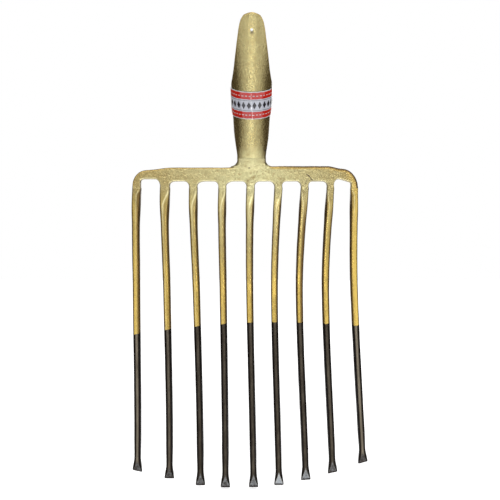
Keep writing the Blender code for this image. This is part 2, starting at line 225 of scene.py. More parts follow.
def operator(operation: str, swapped: bool = False) -> Callable[["Formula", Number], "Formula"]:
    """A method that puts a formula and another number through a math node.

    Args:
        operation: The math node's operation.
        swapped: Whether the other number comes first.

    Returns:
        The method.
    """

    def method(first: "Formula", second: Number) -> "Formula":
        """The outcome for two numbers."""
        return Formula.of(first.tree, operation, *((second, first) if swapped else (first, second)))

    return method


class Formula:
    """A number inside a node tree, with ordinary arithmetic on it."""

    __add__ = __radd__ = operator("ADD")
    __sub__ = operator("SUBTRACT")
    __rsub__ = operator("SUBTRACT", swapped=True)
    __mul__ = __rmul__ = operator("MULTIPLY")
    __truediv__ = operator("DIVIDE")
    __rtruediv__ = operator("DIVIDE", swapped=True)
    __pow__ = operator("POWER")
    larger = operator("MAXIMUM")
    smaller = operator("MINIMUM")

    def __init__(self, tree: Tree, out: Plug) -> None:
        """Wraps the output that holds the number."""
        self.tree = tree
        self.out = out

    @staticmethod
    def of(tree: Tree, operation: str, *values: Number) -> "Formula":
        """A math node's result.

        Args:
            tree: The tree that gets the node.
            operation: The math node's operation.
            values: Its inputs, in order.

        Returns:
            The result.
        """
        node = tree.nodes.new("ShaderNodeMath")
        node.operation = operation
        for socket, value in zip(node.inputs, values):
            plug(tree, socket, value)
        return Formula(tree, node.outputs[0])

    def __abs__(self) -> "Formula":
        """Size without its sign."""
        return self.of(self.tree, "ABSOLUTE", self)

    def clamped(self) -> "Formula":
        """The number, kept between 0 and 1."""
        return self.larger(0.0).smaller(1.0)

    def eased(self) -> "Formula":
        """A share from 0 to 1 that starts and ends softly."""
        share = self.clamped()
        return share * share * (3.0 - share * 2.0)

    def mixed(self, low: Number, high: Number) -> "Formula":
        """A value between low and high, this number being the share."""
        return self * (high - low) + low

    def trig(self, function: str) -> "Formula":
        """Sine or cosine, or another function of one number."""
        return self.of(self.tree, function, self)


def plug(tree: Tree, socket: Plug, value: object) -> None:
    """Links a socket to a formula or another socket, or sets it to a plain value.

    Args:
        tree: The tree that holds the socket.
        socket: The socket to fill.
        value: Its source or its value.
    """
    source = value.out if isinstance(value, Formula) else value
    if isinstance(source, Plug):
        tree.links.new(source, socket)
    else:
        socket.default_value = source


def add_node(tree: Tree, kind: str, **inputs: object) -> bpy.types.Node:
    """Adds a node and fills its inputs.

    Args:
        tree: The tree that gets the node.
        kind: The node's type.
        inputs: Values or sources by the socket's name, with underscores for its blanks.

    Returns:
        The node.
    """
    node = tree.nodes.new(kind)
    for name, value in inputs.items():
        plug(tree, node.inputs[name.replace("_", " ")], value)
    return node


def noise(tree: Tree, place: object, scale: float, seed: Number = 0.0, **settings: float) -> Formula:
    """A noise field, centred on 0 and running from about -0.5 to 0.5.

    Args:
        tree: The tree that gets the node.
        place: Where the noise is read.
        scale: How many swings it makes in a metre.
        seed: Its fourth coordinate.
        settings: Further sockets of the noise node.

    Returns:
        The noise.
    """
    node = tree.nodes.new("ShaderNodeTexNoise")
    node.noise_dimensions = "4D"
    for name, value in {"Vector": place, "Scale": scale, "W": seed, **settings}.items():
        plug(tree, node.inputs[name], value)
    return Formula(tree, node.outputs[0]) - 0.5


def vector(tree: Tree, x: Number, y: Number, z: Number) -> Plug:
    """A vector of three numbers."""
    return add_node(tree, "ShaderNodeCombineXYZ", X=x, Y=y, Z=z).outputs[0]


def split(tree: Tree, source: Plug) -> tuple[Formula, ...]:
    """The three numbers of a vector."""
    return tuple(Formula(tree, out) for out in add_node(tree, "ShaderNodeSeparateXYZ", Vector=source).outputs)


class ShapeTree:
    """A Geometry Nodes tree with named inputs, which ends in Realize Instances and Set Material."""

    joint_fade = 0.003
    level_noise = 0.42

    def __init__(self, name: str, sizes: dict[str, float], base: bool) -> None:
        """Starts the tree.

        Args:
            name: The tree's name.
            sizes: The named inputs and their plain values.
            base: Whether the tree works on the object's own mesh.
        """
        self.tree = bpy.data.node_groups.new(name, "GeometryNodeTree")
        face = self.tree.interface
        if base:
            face.new_socket("Mesh", in_out="INPUT", socket_type="NodeSocketGeometry")
        for key, value in sizes.items():
            kind = "NodeSocketInt" if isinstance(value, int) else "NodeSocketFloat"
            face.new_socket(key, in_out="INPUT", socket_type=kind).default_value = value
        face.new_socket("Material", in_out="INPUT", socket_type="NodeSocketMaterial")
        face.new_socket("Mesh", in_out="OUTPUT", socket_type="NodeSocketGeometry")
        self.given = self.tree.nodes.new("NodeGroupInput")
        self.result = self.tree.nodes.new("NodeGroupOutput")

    def size(self, name: str) -> Formula:
        """One of the tree's inputs."""
        return Formula(self.tree, self.given.outputs[name])

    def node(self, kind: str, **inputs: object) -> bpy.types.Node:
        """A node of this tree with its inputs filled."""
        return add_node(self.tree, kind, **inputs)

    def moved(self, shape: Plug, **inputs: object) -> Plug:
        """The shape with its points moved."""
        return self.node("GeometryNodeSetPosition", Geometry=shape, **inputs).outputs[0]

    def kept(self, shape: Plug, name: str, value: Number) -> Plug:
        """The shape with a number stored on each of its points.

        Args:
            shape: The shape.
            name: The number's name.
            value: The number.

        Returns:
            The shape with the number.
        """
        node = self.node("GeometryNodeStoreNamedAttribute", Geometry=shape, Name=name)
        node.data_type = "FLOAT"
        node.domain = "POINT"
        plug(self.tree, node.inputs["Value"], value)
        return node.outputs[0]

    def raised(self, shape: Plug, height: Formula) -> Plug:
        """The shape with its points raised along their normals.

        Args:
            shape: The shape.
            height: How far each point rises.

        Returns:
            The raised shape.
        """
        offset = self.node("ShaderNodeVectorMath")
        offset.operation = "SCALE"
        plug(self.tree, offset.inputs[0], self.node("GeometryNodeInputNormal").outputs[0])
        plug(self.tree, offset.inputs["Scale"], height)
        return self.moved(shape, Offset=offset.outputs[0])

    def away_from(self, z: Formula, joint: Number) -> Formula:
        """0 at a joint's height, rising to 1 a little way above and below it."""
        return (abs(z - joint) / self.joint_fade).clamped()

    def finish(self, shape: Plug) -> None:
        """Ends the tree.

        Args:
            shape: What the tree makes.
        """
        real = self.node("GeometryNodeRealizeInstances", Geometry=shape).outputs[0]
        dressed = self.node("GeometryNodeSetMaterial", Geometry=real, Material=self.given.outputs["Material"])
        self.tree.links.new(dressed.outputs[0], self.result.inputs[0])

    def apply(self, piece: bpy.types.Object, **sizes: object) -> None:
        """Runs the tree on a piece and keeps the outcome as its plain mesh.

        Args:
            piece: The object that takes the tree.
            sizes: Values of the tree's inputs, with underscores for blanks.
        """
        step = piece.modifiers.new(self.tree.name, "NODES")
        step.node_group = self.tree
        for item in self.tree.interface.items_tree:
            key = item.name.replace(" ", "_")
            if item.in_out == "INPUT" and key in sizes:
                step[item.identifier] = sizes[key]
        freeze(piece)


# Meshes


def freeze(piece: bpy.types.Object) -> None:
    """Turns what a piece's modifiers make into its plain mesh.

    Args:
        piece: The piece.
    """
    graph = bpy.context.evaluated_depsgraph_get()
    made = bpy.data.meshes.new_from_object(
        piece.evaluated_get(graph), preserve_all_data_layers=True, depsgraph=graph
    )
    made.name = piece.name
    piece.modifiers.clear()
    piece.data = made


def new_piece(
    name: str, points: Iterable[Point] = (), faces: Iterable[Sequence[int]] = ()
) -> bpy.types.Object:
    """An object of the given points and faces, facing outwards.

    Args:
        name: The object's name.
        points: Its points, in metres.
        faces: Its faces, as indices of points.

    Returns:
        The object, which stands at the origin.
    """
    mesh = bpy.data.meshes.new(name)
    mesh.from_pydata([tuple(map(float, point)) for point in points], [], list(faces))
    shape = bmesh.new()
    shape.from_mesh(mesh)
    bmesh.ops.recalc_face_normals(shape, faces=shape.faces)
    shape.to_mesh(mesh)
    shape.free()
    made = bpy.data.objects.new(name, mesh)
    bpy.context.collection.objects.link(made)
    return made


def lofted(rings: Sequence[Sequence[Point]], start: int = 0) -> tuple[list, list]:
    """Points and faces of a closed body through rings of equal count.

    Args:
        rings: The rings, from one end to the other.
        start: Index of the body's first point in its mesh.

    Returns:
        The points and the faces.
    """
    count = len(rings[0])
    points = [point for ring in rings for point in ring]
    last = start + len(points) - count
    faces = []
    for low in range(start, last, count):
        for k in range(count):
            after = (k + 1) % count
            faces.append((low + k, low + after, low + count + after, low + count + k))
    faces.append(tuple(range(start, start + count)))
    faces.append(tuple(range(last, last + count)))
    return points, faces


def smooth_shaded(piece: bpy.types.Object, sharp_angle: float = 40.0) -> None:
    """Shades a piece smooth, with its sharp edges kept."""
    piece.data.shade_smooth()
    piece.data.set_sharp_from_angle(angle=radians(sharp_angle))


def coordinates(mesh: bpy.types.Mesh, kind: str = "co") -> np.ndarray:
    """A mesh's points or its point normals.

    Args:
        mesh: The mesh.
        kind: "co" for the points, or "normal".

    Returns:
        The coordinates, in rows of three.
    """
    source = mesh.vertices if kind == "co" else mesh.vertex_normals
    found = np.empty(len(source) * 3, dtype=np.float32)
    source.foreach_get("co" if kind == "co" else "vector", found)
    return found.reshape(-1, 3).astype(float)


def store(mesh: bpy.types.Mesh, name: str, values: np.ndarray) -> None:
    """Keeps one number for each point of a mesh under a name."""
    mesh.attributes.new(name, "FLOAT", "POINT").data.foreach_set("value", values.astype(np.float32))


def distance_to(spots: np.ndarray, line: Outline) -> np.ndarray:
    """Distance of each spot from a line through the given points.

    Args:
        spots: The spots, in rows of two.
        line: The line's points.

    Returns:
        The distance of each spot, in metres.
    """
    nearest = np.full(len(spots), np.inf)
    for start, end in zip(line, line[1:]):
        start, run = np.array(start), np.array(end) - np.array(start)
        along = np.clip(((spots - start) @ run) / max(float(run @ run), 1e-12), 0, 1)
        nearest = np.minimum(nearest, np.linalg.norm(spots - start - along[:, None] * run, axis=1))
    return nearest


def keep_flank_shading(piece: bpy.types.Object, start: float = 0.45, end: float = 0.95) -> None:
    """Stores how far each point of a piece faces sideways, for painted shade on its flanks and painted light
    on the tongue's sides.

    Args:
        piece: The piece.
        start: Sideways part of the normal at which the flank begins.
        end: Sideways part at which it is full.
    """
    sideways = np.abs(coordinates(piece.data, "normal")[:, 0])
    share = np.clip((sideways - start) / (end - start), 0, 1)
    store(piece.data, "flank_shading", share * share * (3 - 2 * share))


@dataclass(frozen=True)
class Scar:
    """A mark left by the forge: a short groove or pit in the front of the metal."""

    start: tuple[float, float]
    end: tuple[float, float]
    width: float
    depth: float

    def drop(self, points: np.ndarray) -> np.ndarray:
        """How deep the mark lies at each point.

        Args:
            points: The points, in rows of three.

        Returns:
            The depth at each point, in metres.
        """
        away = distance_to(points[:, (0, 2)], [self.start, self.end])
        return self.depth * np.exp(-((away / self.width) ** 2))


def scarred(piece: bpy.types.Object, scars: Iterable[Scar]) -> None:
    """Presses forge marks into the front of a piece, and stores how deep they are.

    Args:
        piece: The piece.
        scars: The marks.
    """
    mesh = piece.data
    points, normals = coordinates(mesh), coordinates(mesh, "normal")
    facing = np.clip(-normals[:, 1] * 1.5, 0, 1)
    depth = sum(scar_and_shade.drop(points) for scar_and_shade in scars) * facing
    points -= normals * depth[:, None]
    mesh.vertices.foreach_set("co", points.astype(np.float32).ravel())
    mesh.update()
    store(mesh, "scar_and_shade", np.clip(depth / DARK_SCAR_DEPTH, 0, 1))


# Finishes


class Finish:
    """A procedural material on one Principled shader."""

    def __init__(self, name: str) -> None:
        """Starts the material.

        Args:
            name: Its name.
        """
        self.material = bpy.data.materials.new(name)
        self.material.use_nodes = True
        self.tree = self.material.node_tree
        self.shader = self.tree.nodes["Principled BSDF"]
        self.place = self.tree.nodes.new("ShaderNodeTexCoord").outputs["Object"]

    def set(self, **inputs: object) -> None:
        """Fills inputs of the shader by name, with underscores for blanks."""
        for name, value in inputs.items():
            plug(self.tree, self.shader.inputs[name.replace("_", " ")], value)

    def stored(self, name: str) -> Formula:
        """A number that the mesh keeps for each point.

        Args:
            name: The number's name.

        Returns:
            The number.
        """
        node = self.tree.nodes.new("ShaderNodeAttribute")
        node.attribute_name = name
        return Formula(self.tree, node.outputs["Fac"])

    def noise(self, scale: float, seed: float, stretch: tuple = (1, 1, 1), **settings: float) -> Formula:
        """Noise on the piece's own coordinates, stretched along its axes."""
        mapping = add_node(self.tree, "ShaderNodeMapping", Vector=self.place, Scale=stretch)
        return noise(self.tree, mapping.outputs[0], scale, seed, **settings)

    def blend(self, share: Number, low: object, high: object) -> Plug:
        """A colour between two colours.

        Args:
            share: How far it lies from the first to the second.
            low: The first colour, as a triple or a source.
            high: The second colour.

        Returns:
            The colour.
        """
        node = self.tree.nodes.new("ShaderNodeMix")
        node.data_type = "RGBA"
        node.clamp_factor = True
        plug(self.tree, node.inputs[0], share)
        for socket, colour in ((node.inputs[6], low), (node.inputs[7], high)):
            plug(self.tree, socket, (*colour, 1.0) if isinstance(colour, tuple) else colour)
        return node.outputs[2]

    def layered(self, colour: object, *layers: tuple[Number, object]) -> Plug:
        """A colour with further ones laid over it, one after another.

        Args:
            colour: The colour at the bottom.
            layers: Each layer's share and colour, from the bottom up.

        Returns:
            The colour that shows.
        """
        for share, layer in layers:
            colour = self.blend(share, colour, layer)
        return colour

    def bump(self, height: Formula, strength: float, distance: float, below: object = None) -> Plug:
        """Surface relief from a height field.

        Args:
            height: The field.
            strength: How much of the relief counts.
            distance: Its depth in metres, for a height of 1.
            below: Relief that it lies on.

        Returns:
            The surface's direction.
        """
        further = {} if below is None else {"Normal": below}
        return add_node(
            self.tree, "ShaderNodeBump", Strength=strength, Distance=distance, Height=height, **further
        ).outputs[0]


@dataclass(frozen=True)
class GoldPaint:
    """Gold-bronze metallic paint over hammered steel: pale in the middle and yellower at the ends, with
    painted shade and painted highlights on its flanks and edges.
    """

    pale: tuple = (0.49, 0.465, 0.255)
    socket: tuple = (0.315, 0.275, 0.130)
    # Lighter colour on the tongue's sides: painted light.
    side: tuple = (0.50, 0.42, 0.195)
    warm: tuple = (0.29, 0.225, 0.090)
    yellow: tuple = (0.42, 0.305, 0.075)
    gilt: tuple = (0.62, 0.44, 0.105)
    dark: tuple = (0.21, 0.145, 0.048)
    # Dark brown for painted shade on the flanks and beside the tines' corners.
    painted_shade: tuple = (0.125, 0.074, 0.022)
    # Pale colour for painted highlights on rounded edges.
    rim: tuple = (0.86, 0.79, 0.47)
    # Orange-brown for painted shade along the top edges.
    top_rim: tuple = (0.40, 0.28, 0.085)
    # Near black for a painted shade line on the crossbar's top edge.
    top_line: tuple = (0.055, 0.030, 0.011)
    # Dark colour of forge marks, also used for painted shade in and under the nail hole.
    scar_and_shade: tuple = (0.05, 0.035, 0.02)
    relief: float = 0.0026
    coat: float = 0.06
    coat_roughness: float = 0.25
    neck_blend: float = 0.02
    painted_share: float = 0.45

    def above_neck(self, z: Formula, plan: ForkPlan) -> Formula:
        """0 on the crossbar and the tines, and 1 on the socket."""
        return ((z - plan.neck_z) / self.neck_blend + 0.3).clamped()

    def colour(self, finish: Finish, plan: ForkPlan) -> tuple[Plug, Formula]:
        """The paint's colour and the hammer marks under it.

        Args:
            finish: The material that gets the nodes.
            plan: The fork's shared sizes.

        Returns:
            The colour, and the height of the hammer marks.
        """
        x, _, z = split(finish.tree, finish.place)
        worms = finish.noise(470, 1.0, Detail=4.0, Roughness=0.7, Distortion=1.2)
        runs = finish.noise(330, 4.0, (1.0, 1.0, 0.16), Detail=2.0, Roughness=0.6)
        blots = finish.noise(70, 2.0, Detail=2.0, Roughness=0.5)
        sideways = abs(x) / (plan.tine_span / 2)
        down = ((plan.root_z - z) / (plan.tine_length * self.painted_share)).clamped()
        above = self.above_neck(z, plan)
        swirls = finish.noise(120, 5.0, Detail=2.0, Roughness=0.45, Distortion=2.2) * (1.0 - above)
        even = (down * 12.0).clamped()
        smooth = above.larger(even)

        warmth = (sideways * 0.95 + blots * 0.9 + swirls * 1.2).clamped()
        gilded = (down * 9.0).clamped() * sideways.clamped().mixed(0.15, 0.55)
        shade = worms * smooth.mixed(-1.3, -0.8) * (1.0 - even * 0.75) + runs * smooth.mixed(-0.4, -1.3)
        shade = (shade + blots * -0.6 + swirls * smooth.mixed(-2.2, -0.5) + 0.19 - even * 0.09).clamped()
        flank_shading = finish.stored("flank_shading")
        tongue = ((z - 0.045) / 0.040).clamped()
        outmost = (abs(x) / plan.tine_span * 20.0 - 8.6).clamped()
        colour = finish.layered(
            finish.blend(above, self.pale, self.socket),
            (warmth, self.warm),
            ((gilded + down * 0.9).clamped(), self.yellow),
            # Brighter gilt lower down the tines: partly the paint's own tone, partly painted highlight.
            ((down * 2.4 - 1.0).clamped() * 0.95, self.gilt),
            (shade, self.dark),
            # Painted shade on the sideways-facing flanks below the tongue.
            (flank_shading * tongue.mixed(0.38, 0.0), self.painted_shade),
            # Painted light on the tongue's sides.
            (flank_shading * tongue * 1.5, self.side),
            # Lighter gilt on the outer tines: partly the paint's own tone, partly painted highlight.
            (outmost * down.larger((x * 30.0).clamped()) * 0.6, self.gilt),
            # Painted highlight on the rounded edges round the gaps.
            (finish.stored("rim") * 0.9, self.rim),
            # Painted shade along the top edges.
            (finish.stored("top_rim") * 0.92, self.top_rim),
            # Painted shade line on the crossbar's top edge.
            (finish.stored("top_line"), self.top_line),
            # Forge marks, and painted shade in and under the nail hole.
            (finish.stored("scar_and_shade"), self.scar_and_shade),
        )
        marks = worms * (smooth.mixed(0.24, 0.15) - even * 0.13) + swirls * smooth.mixed(0.36, 0.06)
        marks = marks + runs * smooth.mixed(0.05, 0.11) + blots * (above.mixed(0.5, 0.16) - even * 0.32)
        return colour, marks

    def build(self, plan: ForkPlan) -> bpy.types.Material:
        """The whole material.

        Args:
            plan: The fork's shared sizes.

        Returns:
            The material.
        """
        finish = Finish("gold_bronze_paint")
        colour, marks = self.colour(finish, plan)
        _, _, z = split(finish.tree, finish.place)
        grain = finish.noise(1500, 3.0, Detail=2.0, Roughness=0.5)
        finish.set(
            Base_Color=colour,
            Metallic=0.88,
            Roughness=marks * 0.2 + self.above_neck(z, plan).mixed(0.37, 0.27),
            Normal=finish.bump(grain, 0.3, 0.0003, finish.bump(marks, 1.0, self.relief)),
            Coat_Weight=self.coat,
            Coat_Roughness=self.coat_roughness,
        )
        return finish.material


@dataclass(frozen=True)
class TineFinish:
    """Gold paint on a tine's upper half and dark, oiled steel below it, with a ground facet at the tip, and
    painted shade, highlights and reflections over both.
    """

    paint: GoldPaint = GoldPaint()
    steel_dark: tuple = (0.014, 0.010, 0.007)
    steel_light: tuple = (0.092, 0.077, 0.058)
    # Paler steel for the painted highlight down the middle of the tines.
    painted_glint: tuple = (0.19, 0.162, 0.122)
    # Near black for painted shade on the steel's sides.
    edge: tuple = (0.004, 0.002, 0.0015)
    # Ground steel at the tip facets: how much shows is partly painted reflection.
    ground: tuple = (0.375, 0.400, 0.43)
    ground_dull: tuple = (0.040, 0.034, 0.030)
    # Pale tip facet edge: partly a polished edge, partly painted highlight.
    rim: tuple = (0.50, 0.49, 0.46)
    burnt: tuple = (0.018, 0.014, 0.014)
    drop: float = 0.1657
    rise_right: float = 0.040
    rise_back: float = 0.150
    feather: float = 0.0003

    def painted(self, finish: Finish, plan: ForkPlan) -> Formula:
        """Where the paint lies: above a slightly tilted and wavering edge.

        Args:
            finish: The material that gets the nodes.
            plan: The fork's shared sizes.

        Returns:
            1 on the paint and 0 below it.
        """
        x, y, z = split(finish.tree, finish.place)
        edge = x * self.rise_right + (y - plan.crossbar_middle_y) * self.rise_back + (plan.root_z - self.drop)
        across = finish.stored("across")
        rightward = (x / 0.04 + 0.5).clamped()
        edge = edge + rightward.mixed(across * 0.0008, (across * across - 0.5) * 0.0012)
        waver = finish.noise(300, 5.0, Detail=1.0) * 0.0008
        return ((z - edge + waver) / self.feather + 0.5).clamped()

    def steel(self, finish: Finish, streaks: Formula, flecks: Formula) -> Plug:
        """The colour of the unpainted steel: painted shade at its sides, a painted highlight down its middle,
        and a ground tip whose brightness is partly painted reflection.

        Args:
            finish: The material that gets the nodes.
            streaks: Noise that runs down the bar.
            flecks: Fine noise.

        Returns:
            The colour.
        """
        across = abs(finish.stored("across"))
        painted_reflection = finish.stored("painted_reflection")
        patches = finish.noise(420, 11.0, Detail=3.0, Roughness=0.7, Distortion=0.8)
        # Painted highlight down the middle of the steel.
        centre_glint = finish.stored("painted_glint") * (streaks * 1.8 + 0.75).clamped()
        centre_glint = centre_glint * (1.0 - across / 0.50).clamped() * 1.6
        # How bright the ground tip is: partly painted reflection, partly random patches.
        ground = (painted_reflection + flecks * 0.5 + patches * 1.6).clamped()
        return finish.layered(
            self.steel_dark,
            ((streaks * 1.5 + flecks + 0.45).clamped(), self.steel_light),
            (centre_glint, self.painted_glint),
            # Painted shade on the steel's sides.
            (finish.stored("flank_shading").larger(((across - 0.12) / 0.44).eased()), self.edge),
            (finish.stored("facet"), finish.blend(ground, self.ground_dull, self.ground)),
            # Painted highlight on the tip facet's edge, partly a polished edge.
            (finish.stored("facet_rim") * painted_reflection * 0.7, self.rim),
            (finish.stored("burnt"), self.burnt),
        )

    def build(self, plan: ForkPlan) -> bpy.types.Material:
        """The whole material.

        Args:
            plan: The fork's shared sizes.

        Returns:
            The material.
        """
        finish = Finish("tine_paint_and_steel")
        gold, marks = self.paint.colour(finish, plan)
        painted = self.painted(finish, plan)
        streaks = finish.noise(260, 6.0, (1, 1, 0.12), Detail=4.0, Roughness=0.6)
        flecks = finish.noise(900, 7.0, Detail=3.0, Roughness=0.65)
        _, _, z = split(finish.tree, finish.place)
        # Painted shade on the tines' flanks and beside their corners, and a painted highlight along the
        # corner.
        beside = ((plan.root_z - z) / 0.012).clamped().mixed(0.26, 0.60)
        gold = finish.layered(
            gold,
            (finish.stored("shaded").larger(finish.stored("flank_shading") * beside), self.paint.painted_shade),
            (finish.stored("arris") * 0.62, self.paint.rim),
        )
        hammered = finish.bump(marks, 1.0, self.paint.relief)
        finish.set(
            Base_Color=finish.blend(painted, self.steel(finish, streaks, flecks), gold),
            Metallic=painted.mixed(0.90, 0.88),
            Roughness=painted.mixed(flecks * 0.3 + 0.40, marks * 0.15 + 0.36),
            Normal=finish.bump(streaks + flecks * painted.mixed(0.5, 0.0), 0.35, 0.0003, hammered),
            Coat_Weight=painted * self.paint.coat,
            Coat_Roughness=self.paint.coat_roughness,
        )
        return finish.material


@dataclass(frozen=True)
class PaperLabel:
    """Glossy printed paper: red stripes, a pale middle and a plain row of diamonds, with nothing written."""

    red: tuple = (0.50, 0.010, 0.006)
    pale: tuple = (0.50, 0.515, 0.58)
    border: tuple = (0.56, 0.58, 0.60)
    ink: tuple = (0.012, 0.012, 0.02)
    red_from: float = 0.030
    red_to: float = 0.275
    feather: float = 0.004
    diamonds: int = 12
    diamond_size: float = 0.42
    hairline_at: float = 0.185
    dashes_at: float = 0.345

    def printed(self, finish: Finish) -> Plug:
        """The printed colours, by the label's own width and height.

        Args:
            finish: The material that gets the nodes.

        Returns:
            The colour.
        """
        u, v, _ = split(finish.tree, finish.tree.nodes["Texture Coordinate"].outputs["UV"])
        middle = abs(v - 0.5)
        step = u * float(self.diamonds)
        across = abs(step.trig("FRACT") - 0.5)
        diamond = ((self.diamond_size - across - middle * 2.9) / 0.05).clamped()
        hairline = ((0.009 - abs(middle - self.hairline_at)) / 0.003).clamped()
        dash = ((0.32 - abs((step * 1.5).trig("FRACT") - 0.5)) / 0.1).clamped()
        dash = dash * ((0.020 - abs(middle - self.dashes_at)) / 0.006).clamped()
        return finish.layered(
            self.pale,
            (((middle - (0.5 - self.red_to)) / self.feather).clamped(), self.red),
            (((middle - (0.5 - self.red_from)) / self.feather).clamped(), self.border),
            (diamond.larger(hairline), self.ink),
            (dash * 0.75, self.border),
        )

    def build(self) -> bpy.types.Material:
        """The whole material.

        Returns:
            The material.
        """
        finish = Finish("printed_paper")
        fibres = finish.noise(500, 8.0, Detail=3.0)
        creases = finish.noise(120, 9.0, (1, 1, 0.35), Detail=2.0, Roughness=0.6)
        finish.set(
            Base_Color=finish.blend((fibres * 0.12).clamped(), self.printed(finish), self.border),
            Roughness=creases * 0.12 + 0.26,
            Normal=finish.bump(creases, 0.03, 0.0004, finish.bump(fibres, 0.05, 0.0001)),
            Specular_IOR_Level=0.0,
            Coat_Weight=1.0,
            Coat_Roughness=0.02,
            Coat_IOR=1.62,
        )
        return finish.material


# Shapes


class ForgeMarks(ShapeTree):
    """Uneven forged surfaces: broad waves and small hammer marks, dying out where pieces meet."""

    def __init__(self) -> None:
        """Builds the tree."""
        sizes = {
            "Wave Depth": 0.0003, "Mark Depth": 0.00012, "Upper Joint": 1.0, "Lower Joint": -1.0, "Seed": 1.0,
        }
        super().__init__("forge_marks", sizes, base=True)
        self.finish(self.marked(self.given.outputs["Mesh"]))

    def marked(self, shape: Plug) -> Plug:
        """The shape with its surface uneven.

        Args:
            shape: The shape.

        Returns:
            The uneven shape.
        """
        place = self.node("GeometryNodeInputPosition").outputs[0]
        _, _, z = split(self.tree, place)
        waves = noise(self.tree, place, 45, self.size("Seed"), Detail=1.0) - self.level_noise
        marks = noise(self.tree, place, 330, self.size("Seed"), Detail=1.5, Distortion=0.6) - self.level_noise
        height = waves * self.size("Wave Depth") + marks * self.size("Mark Depth")
        for joint in ("Upper Joint", "Lower Joint"):
            height = height * self.away_from(z, self.size(joint))
        return self.raised(shape, height)


class TineTree(ShapeTree):
    """A tine as a rule: a bowed, twisted square bar with uneven sides and a hammered tip."""

    root_length = 0.045
    twist_length = 0.030
    shown_turn = 0.62
    bar_side = 0.0086
    tip_side = 0.0075
    facet_length = 0.0130
    deepest_share = 0.37
    tip_setback = 0.0040
    flare_length = 0.0166
    flare_width = 0.0110
    untwist_start = 0.0375
    untwist_end = 0.0150
    bevel_length = 0.0021
    bevel_depth = 0.0008
    front_of_tip = 0.0017
    back_of_tip = 0.0023
    end_round = 0.0007

    def __init__(self, plan: ForkPlan) -> None:
        """Builds the tree.

        Args:
            plan: The fork's shared sizes.
        """
        sizes = {
            "Rows": 430, "Columns": 44, "Place": 0.0, "Root Width": 0.01, "Length": 0.33, "Lean": 0.0,
            "Sway": 0.003, "Scoop": 0.03, "Slant": 0.0, "Turn": 0.5, "Shine": 0.3, "Bare": 0.1, "Seed": 1.0,
            "Mark Depth": 0.00012, "Ridge": 0.05, "Run": 0.022, "Narrow": 0.44, "Sharp": 0.0,
        }
        super().__init__("tine_bar", sizes, base=False)
        self.plan = plan
        self.finish(self.shaped())

    def blank(self) -> Plug:
        """A round tube that the rest of the tree shapes.

        Returns:
            The tube, of unit radius, which runs one unit down.
        """
        line = self.node("GeometryNodeCurvePrimitiveLine", Start=(0, 0, 0), End=(0, 0, -1))
        rail = self.node("GeometryNodeResampleCurve", Curve=line.outputs[0], Count=self.size("Rows"))
        circle = self.node("GeometryNodeCurvePrimitiveCircle", Resolution=self.size("Columns"), Radius=1.0)
        tube = self.node("GeometryNodeCurveToMesh", Curve=rail.outputs[0], Profile_Curve=circle.outputs[0])
        tube.inputs["Fill Caps"].default_value = True
        return tube.outputs[0]

    def bowed(self, share: Formula, length: Formula) -> tuple[Formula, Formula]:
        """The bar's bow to the back.

        Args:
            share: Distance down the bar, as a share of its length.
            length: The bar's length.

        Returns:
            How far back the bar lies, and its slope there.
        """
        scoop = self.size("Scoop")
        early = (share / self.deepest_share).clamped()
        late = (share - self.deepest_share).larger(0.0) / (1 - self.deepest_share)
        back = scoop * (early.eased() - late * late) + share * self.tip_setback
        steep = early * (1.0 - early) * (6.0 / self.deepest_share) - late * (2.0 / (1 - self.deepest_share))
        slope = (scoop * steep + self.tip_setback) / length * (share * 100.0).clamped()
        return back, slope

    def corner_light_and_shade(self, along: Formula, across: Formula, settle: Formula) -> tuple[Formula, Formula]:
        """The painted highlight along the corner that the twist draws over the front, and the painted shade
        on either side of it.

        Args:
            along: Distance down the bar.
            across: Place across the bar, in half widths.
            settle: 0 at the root, and 1 where the bar is square.

        Returns:
            How bright the corner's painted highlight is, and how dark the painted shade beside it is.
        """
        size = self.size
        way = size("Turn").trig("SIGN") * -1.0
        corner = ((along + 0.001) / size("Run")).eased().mixed(0.86, size("Ridge"))
        past = across * way - corner
        leftward = (size("Place") / -0.08 + 0.1).clamped()
        arris = (1.0 - abs(past + 0.12) / leftward.mixed(0.13, 0.24)).clamped() * (along / 0.004).clamped()
        fading = 1.0 - (along - 0.016) / leftward.mixed(0.030, 0.065)
        arris = arris * fading.larger(leftward * 0.42).clamped() * size("Sharp").mixed(1.0, 0.5)
        narrow_side = ((across * way * -1.0 - size("Narrow")) / 0.50).eased() * settle
        deepest = size("Sharp").mixed(leftward.mixed(0.94, 0.54), 0.86)
        ramp = size("Sharp").mixed(0.62, 0.16)
        return arris, ((past / ramp).clamped() * deepest).larger(narrow_side)

    def shaped(self) -> Plug:
        """The whole bar, in place.

        Returns:
            The bar.
        """
        tree, plan, size = self.tree, self.plan, self.size
        circle_x, circle_y, depth = split(tree, self.node("GeometryNodeInputPosition").outputs[0])
        share = 1.0 - (depth + 1.0).larger(0.0) ** 1.5
        length = size("Length")
        along = share * length
        to_tip = length - along
        settle = (along / self.root_length).eased()
        flatten = (1.0 - to_tip / self.flare_length).clamped()
        flare = flatten.eased()

        # Section: a rounded rectangle that grows rounder down the bar
        wobble = noise(tree, vector(tree, 0.0, 0.0, along), 38, size("Seed"), Detail=1.0)
        side = share.mixed(self.bar_side, self.tip_side) * (wobble * 0.10 + 1.0)
        half_width = settle.mixed(size("Root Width") * 0.5, side * 0.5)
        half_width = flare.mixed(half_width, self.flare_width / 2)
        half_depth = settle.mixed(plan.crossbar_thickness / 2, side * 0.5)
        squareness = settle.mixed(5.0, flare.mixed(3.1, 5.0))
        reach = (abs(circle_x) ** squareness + abs(circle_y) ** squareness) ** (-1.0 / squareness)
        x = circle_x * reach * half_width
        raw_y = circle_y * reach * half_depth

